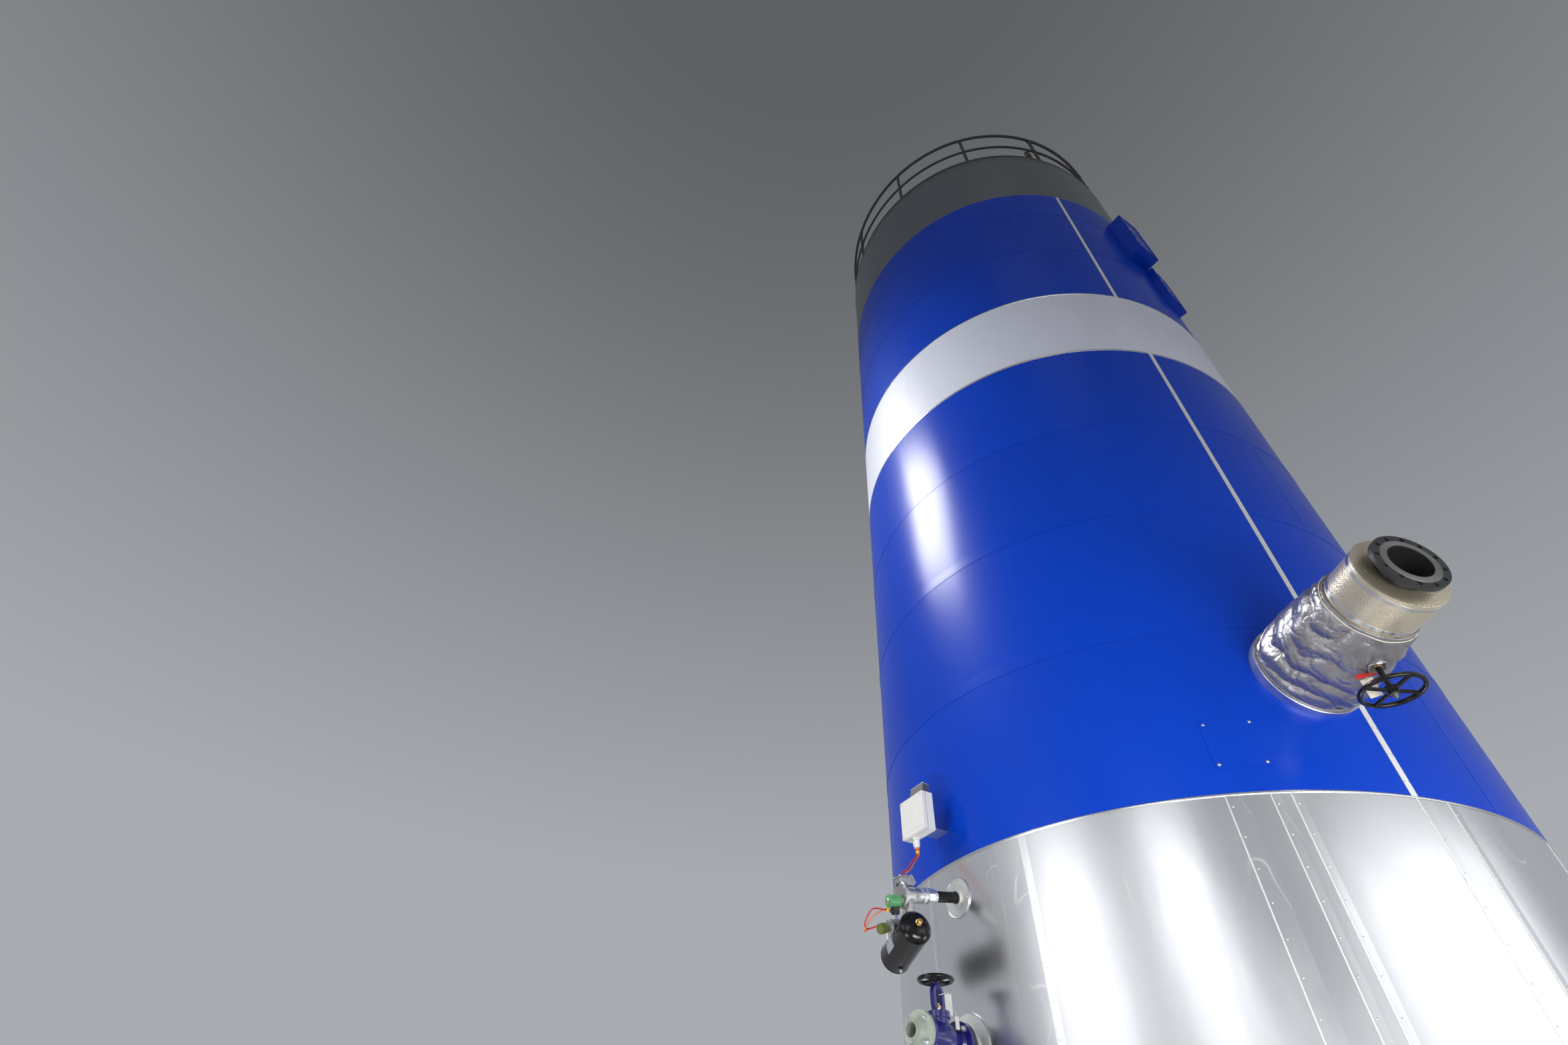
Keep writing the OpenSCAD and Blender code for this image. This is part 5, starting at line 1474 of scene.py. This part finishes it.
class BOILER_OT_wire_junction_box(bpy.types.Operator):
    """Finishes the junction box, adds its screws, hood and gland, and lays the wires"""

    bl_idname = "boiler.wire_junction_box"
    bl_label = "Wire junction box"

    # The box's side, depth, gap to the wall, place beside the nozzle and height above it.
    SIDE, DEPTH, GAP, ASIDE, RISE = 0.235, 0.080, 0.140, -0.072, 0.346
    GLAND_SIDE, GLAND_L = -0.110, 0.062
    HOOD_W = 0.130
    # Finishes of the wires in order: three to the pulse valve, then two to the feed valve.
    WIRE_FINISHES = ("red", "orange", "valve_blue", "red", "orange")

    def execute(self, context):
        dress_nodes(white_plastic="junction_box cable_gland", galvanised="junction_bracket")
        local = wall(*CLEANER)
        # The middle of the gland's mouth, on the box's underside.
        self.mouth = (self.GAP + self.DEPTH * 0.45, self.GLAND_SIDE, self.RISE - self.GLAND_L)
        self.box(local)
        self.gland(local @ shift(*self.mouth))
        self.wires(local)
        return {"FINISHED"}

    def box(self, local):
        """Lid screws with their slots, the lid's raised field and joint, and the hood."""
        front = self.GAP + self.DEPTH
        face = local @ shift(x=front, y=self.ASIDE, z=self.RISE + self.SIDE / 2)
        piece = Piece("junction_box_trim", "white_plastic", "bright_steel", "black_plastic",
                      "machined")
        half = self.SIDE / 2 - 0.016
        for dy, dz in corners(half, half):
            at = face @ shift(y=dy, z=dz) @ OUTWARD
            piece.lathe(at, [(0.0105, 0), (0.0105, 0.0016), (0.0085, 0.0024),
                             (0.0060, 0.0024), (0.0060, 0.0008), (0, 0.0008)], 20)
            # The slot is a raised black bar: painted shade for the slot's recess.
            piece.block(at @ shift(z=0.0008), (0.0014, 0.0090, 0.0010), 0.0003, 2)
        piece.block(face @ shift(x=0.0008, z=-self.SIDE / 2 + 0.03),
                    (0.002, self.SIDE - 0.07, self.SIDE - 0.06))
        lid = local @ shift(x=self.GAP + self.DEPTH * 0.68, y=self.ASIDE, z=self.RISE - 0.0005)
        piece.block(lid, (0.0022, self.SIDE + 0.001, self.SIDE + 0.001), 0.0003, 2)
        edge = self.ASIDE - self.SIDE / 2 + (self.SIDE - self.HOOD_W) / 2
        hood = local @ shift(x=self.GAP - 0.0264, y=edge - 0.024,
                             z=self.RISE + self.SIDE - 0.012) @ turn("Y", -8)
        middle = self.HOOD_W / 2
        piece.block(hood @ shift(x=0.024, y=middle, z=0.012), (0.056, 0.140, 0.034), 0.003, 2)
        piece.block(hood @ shift(x=0.024, y=middle, z=0.046), (0.0525, 0.135, 0.066), 0.005, 3)
        for side in (-0.005, self.HOOD_W + 0.005):
            piece.tube([hood @ Vector((0.006 + 0.036 * t, side, 0.040 + 0.012 * math.sin(3 * t)))
                        for t in (0, 0.25, 0.5, 0.75, 1.0)], 0.0028, 8, 1)
            piece.block(hood @ shift(x=0.024, y=side, z=0.030), (0.012, 0.008, 0.026), 0.002, 3)
        piece.solid(hood @ shift(x=0.024, y=0.036, z=0.112),
                    [(0.017, 0), (0.017, 0.010), (0.012, 0.012)], 6, 3)
        piece.done()

    def gland(self, at):
        """The orange ring at the gland's mouth and the ribs of its nut."""
        piece = Piece("gland_rings", "orange", "white_plastic")
        piece.lathe(at, [(0.0085, -0.012), (0.0125, -0.012), (0.0135, -0.006), (0.0125, -0.001),
                         (0.0085, -0.001)])
        for k in on_ring(12, 0.0196, 0):
            piece.block(at @ k @ shift(z=0.016), (0.0022, 0.004, 0.026), 0.0006, 1)
        piece.done()

    def routes(self, local):
        """The wires' lines: three from the gland to the pulse valve, two from plug to cap."""
        start = Vector(self.mouth) - Vector((0, 0, 0.0014))
        valve = turn("Y", CLEANER_SLOPE)
        block = valve @ Vector((0.350, -0.010, 0.094))
        plug = valve @ Vector((0.500, 0.0, -0.085))
        cap = Vector((0.500, -0.110, -0.222))
        drop = block - start
        lines = []
        for k in range(3):
            a = FULL_TURN * k / 3 + 0.5
            ring = polar(1.0, a) * sizes().wire_d * 0.60
            begin = start + ring
            swing = Vector((0.005 * math.cos(a + k), 0.006 * math.sin(a + k), 0))
            lines.append([begin, begin + Vector((0.002, 0.003, -0.045)),
                          start + drop * 0.45 + ring * 1.3 + swing + Vector((-0.016, -0.010, 0.0)),
                          start + drop * 0.75 + ring * 1.6 + swing * 0.7,
                          block + ring * 2.2 + Vector((0, 0, 0.030)), block + ring * 2.2])
        for k, (bow, side, dip) in enumerate(((0.125, 0.012, 0.020), (0.100, -0.030, 0.048))):
            begin = plug + Vector((0.002, 0.005 - 0.010 * k, 0.003 * k))
            target = cap + Vector((0.004, 0.006 - 0.012 * k, 0.004))
            lines.append([begin, begin + Vector((bow * 0.35, 0.0, -0.002)),
                          begin + Vector((bow, side, -dip)),
                          begin + Vector((bow * 1.15, side - 0.045, -dip - 0.055)),
                          target + Vector((bow * 0.45, -0.010, -0.018)), target])
        return [self.smooth([local @ p for p in line]) for line in lines]

    def wires(self, local):
        """Separate wires and the ties round them."""
        s = sizes()
        routes = self.routes(local)
        for k, route in enumerate(routes[:counts().wires]):
            piece = Piece("wire_%d" % (k + 1), self.WIRE_FINISHES[k])
            piece.tube(route, s.wire_d / 2, 10)
            made = piece.done()
            length = sum((b - a).length for a, b in zip(route, route[1:]))
            if k == 0:
                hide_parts("wire_loom")
        ties = Piece("wire_ties", "yellow", "orange")
        for group, share, material in ((routes[:3], 0.10, 0), (routes[:3], 0.16, 1),
                                       (routes[3:], 0.10, 0)):
            at = int(share * (len(group[0]) - 1))
            middle, after = (sum((r[i] for r in group), Vector()) / len(group)
                             for i in (at, at + 1))
            along = (after - middle).normalized()
            side = along.orthogonal().normalized()
            up = along.cross(side)
            r = max((r[at] - middle).length for r in group) + s.wire_d * 0.5 + 0.001
            for lift in (-0.004, -0.001, 0.002, 0.005):
                ties.tube([middle + along * lift + (side * math.cos(a) + up * math.sin(a)) * r
                           for a in angles(28)], 0.0018, 6, material, closed=True)
        ties.done()

    def smooth(self, points, steps=60):
        """A Catmull-Rom curve through the points, evenly enough spaced for a cord."""
        ends = [points[0] * 2 - points[1], *points, points[-1] * 2 - points[-2]]
        line = []
        per = max(6, steps // (len(points) - 1))
        for p0, p1, p2, p3 in zip(ends, ends[1:], ends[2:], ends[3:]):
            for t in (i / per for i in range(per)):
                line.append(0.5 * ((p1 * 2) + (p2 - p0) * t
                                   + (p0 * 2 - p1 * 5 + p2 * 4 - p3) * t * t
                                   + (p1 * 3 - p0 - p2 * 3 + p3) * t * t * t))
        return [*line, points[-1].copy()]


# ---------------------------------------------------------------- stage


class BOILER_OT_set_stage(bpy.types.Operator):
    """Sets a pale floor, soft studio lights and the photograph's camera"""

    bl_idname = "boiler.set_stage"
    bl_label = "Set stage"

    # The solved view: its place, its angles in radians, the lens and the frame in millimetres.
    EYE = (0.0094, -6.13468, 1.43936)
    YAW, PITCH, ROLL = -0.49978, 0.80104, 0.05507
    LENS, FRAME_WIDTH = 16.955, 36.0
    # Each light: its place, what it aims at, width, height, spread in degrees, watts.
    LIGHTS = {
        "left": ((-5.2, -8.4, 4.6), (-0.5, -1.9, 2.6), 3.3, 2.6, 100, 23),
        "front": ((0.1, -10.0, 4.7), (0.0, -2.0, 2.6), 2.3, 2.6, 100, 16),
        "right": ((7.8, -3.6, 4.1), (1.0, -1.7, 2.7), 8.0, 2.6, 100, 33),
        "low_right": ((2.9, -5.0, 0.9), (0.8, -1.5, 3.4), 4.2, 0.9, 75, 50),
        "low_left": ((-3.2, -4.6, 0.9), (-1.0, -1.4, 3.5), 2.2, 0.9, 75, 11),
        "lamp": ((-6.25, -3.6, 11.8), (-1.0, -1.75, 6.0), 2.8, 2.4, 60, 85),
        "top": ((3.5, -7.5, 17.0), (0.0, 0.0, 9.0), 4.0, 4.0, 180, 10),
        "back": ((-2.0, 10.0, 9.0), (0.0, 0.0, 6.0), 4.0, 8.0, 180, 350),
    }
    SKY = (0.86, 0.90, 0.96, 1.0)
    HORIZON, ZENITH = 0.46, 0.13
    FADE = (0.33, 0.97)  # sines of the elevations between which the horizon light fades
    FLOOR_HALF = 300.0

    def execute(self, context):
        self.floor()
        self.sky()
        self.lights()
        self.camera()
        return {"FINISHED"}

    def add(self, name, data):
        made = bpy.data.objects.new(name, data)
        bpy.context.scene.collection.objects.link(made)
        return made

    def floor(self):
        data = bpy.data.meshes.new("floor")
        half = self.FLOOR_HALF
        data.from_pydata([(-half, -half, 0), (half, -half, 0), (half, half, 0),
                          (-half, half, 0)], [], [(0, 1, 2, 3)])
        data.materials.append(Finish(
            "floor", Base_Color=(0.66, 0.66, 0.65), Roughness=0.7,
            Emission_Color=(1.0, 1.0, 1.0), Emission_Strength=0.20).material)
        made = self.add("floor", data)

    def sky(self):
        """A pale horizon that fades to a darker zenith."""
        world = bpy.data.worlds.new("studio")
        world.use_nodes = True
        nodes, links = world.node_tree.nodes, world.node_tree.links
        back = nodes["Background"]
        back.inputs["Color"].default_value = self.SKY
        place = nodes.new("ShaderNodeTexCoord")
        axes = nodes.new("ShaderNodeSeparateXYZ")
        fade = nodes.new("ShaderNodeMapRange")
        for name, value in zip(("From Min", "From Max", "To Min", "To Max"),
                               (*self.FADE, self.HORIZON, self.ZENITH)):
            fade.inputs[name].default_value = value
        links.new(place.outputs["Generated"], axes.inputs[0])
        links.new(axes.outputs["Z"], fade.inputs["Value"])
        links.new(fade.outputs[0], back.inputs["Strength"])
        bpy.context.scene.world = world
        bpy.context.scene.view_settings.view_transform = "Standard"

    def lights(self):
        for name, (at, aim, width, height, spread, watts) in self.LIGHTS.items():
            data = bpy.data.lights.new(name, "AREA")
            data.shape = "RECTANGLE"
            data.size, data.size_y = width, height
            data.spread = math.radians(spread)
            data.energy = watts
            made = self.add(name, data)
            made.location = at
            made.rotation_euler = (Vector(aim) - Vector(at)).to_track_quat("-Z", "Y").to_euler()
            made.visible_camera = False

    def camera(self):
        """The solved view: looking up and to the left with a wide lens, slightly rolled."""
        ahead = Vector((math.sin(self.YAW) * math.cos(self.PITCH),
                        math.cos(self.YAW) * math.cos(self.PITCH), math.sin(self.PITCH)))
        level = Vector((math.cos(self.YAW), -math.sin(self.YAW), 0))
        lift = level.cross(ahead)
        right = level * math.cos(self.ROLL) + lift * math.sin(self.ROLL)
        up = lift * math.cos(self.ROLL) - level * math.sin(self.ROLL)
        data = bpy.data.cameras.new("photo_camera")
        data.lens = self.LENS
        data.sensor_width = self.FRAME_WIDTH
        data.clip_start, data.clip_end = 0.05, 500.0
        made = self.add("photo_camera", data)
        made.matrix_world = Matrix.LocRotScale(
            Vector(self.EYE), Matrix((right, up, -ahead)).transposed(), None)
        bpy.context.scene.camera = made


# ---------------------------------------------------------------- add-on


class BOILER_PT_sidebar(bpy.types.Panel):
    """Lists the boiler's operators and settings"""

    bl_idname = "BOILER_PT_sidebar"
    bl_label = "Boiler"
    bl_space_type = "VIEW_3D"
    bl_region_type = "UI"
    bl_category = "Boiler"

    def draw(self, context):
        for operator in OPERATORS:
            self.layout.operator(operator.bl_idname)
        for group in (sizes(), counts(), colours()):
            column = self.layout.column(align=True)
            for key in type(group).__annotations__:
                column.prop(group, key)


OPERATORS = (
    BOILER_OT_clad_vessel, BOILER_OT_dress_base, BOILER_OT_dress_roof, BOILER_OT_dress_outlet,
    BOILER_OT_sew_jacket, BOILER_OT_dress_drain, BOILER_OT_dress_cleaner,
    BOILER_OT_wire_junction_box, BOILER_OT_set_stage,
)
GROUPS = {"boiler_colours": BoilerColours, "boiler_sizes": BoilerSizes,
          "boiler_counts": BoilerCounts}


def register():
    for group in GROUPS.values():
        bpy.utils.register_class(group)
    for key, group in GROUPS.items():
        setattr(bpy.types.Scene, key, PointerProperty(type=group))
    for operator in OPERATORS:
        bpy.utils.register_class(operator)
    bpy.utils.register_class(BOILER_PT_sidebar)


def unregister():
    bpy.utils.unregister_class(BOILER_PT_sidebar)
    for operator in reversed(OPERATORS):
        bpy.utils.unregister_class(operator)
    for key, group in GROUPS.items():
        delattr(bpy.types.Scene, key)
        bpy.utils.unregister_class(group)


def main():
    register()
    bpy.ops.boiler.clad_vessel()
    bpy.ops.boiler.dress_base()
    bpy.ops.boiler.dress_roof()
    bpy.ops.boiler.dress_outlet()
    bpy.ops.boiler.sew_jacket()
    bpy.ops.boiler.dress_drain()
    bpy.ops.boiler.dress_cleaner()
    bpy.ops.boiler.wire_junction_box()
    bpy.ops.boiler.set_stage()


if __name__ == "__main__":
    main()
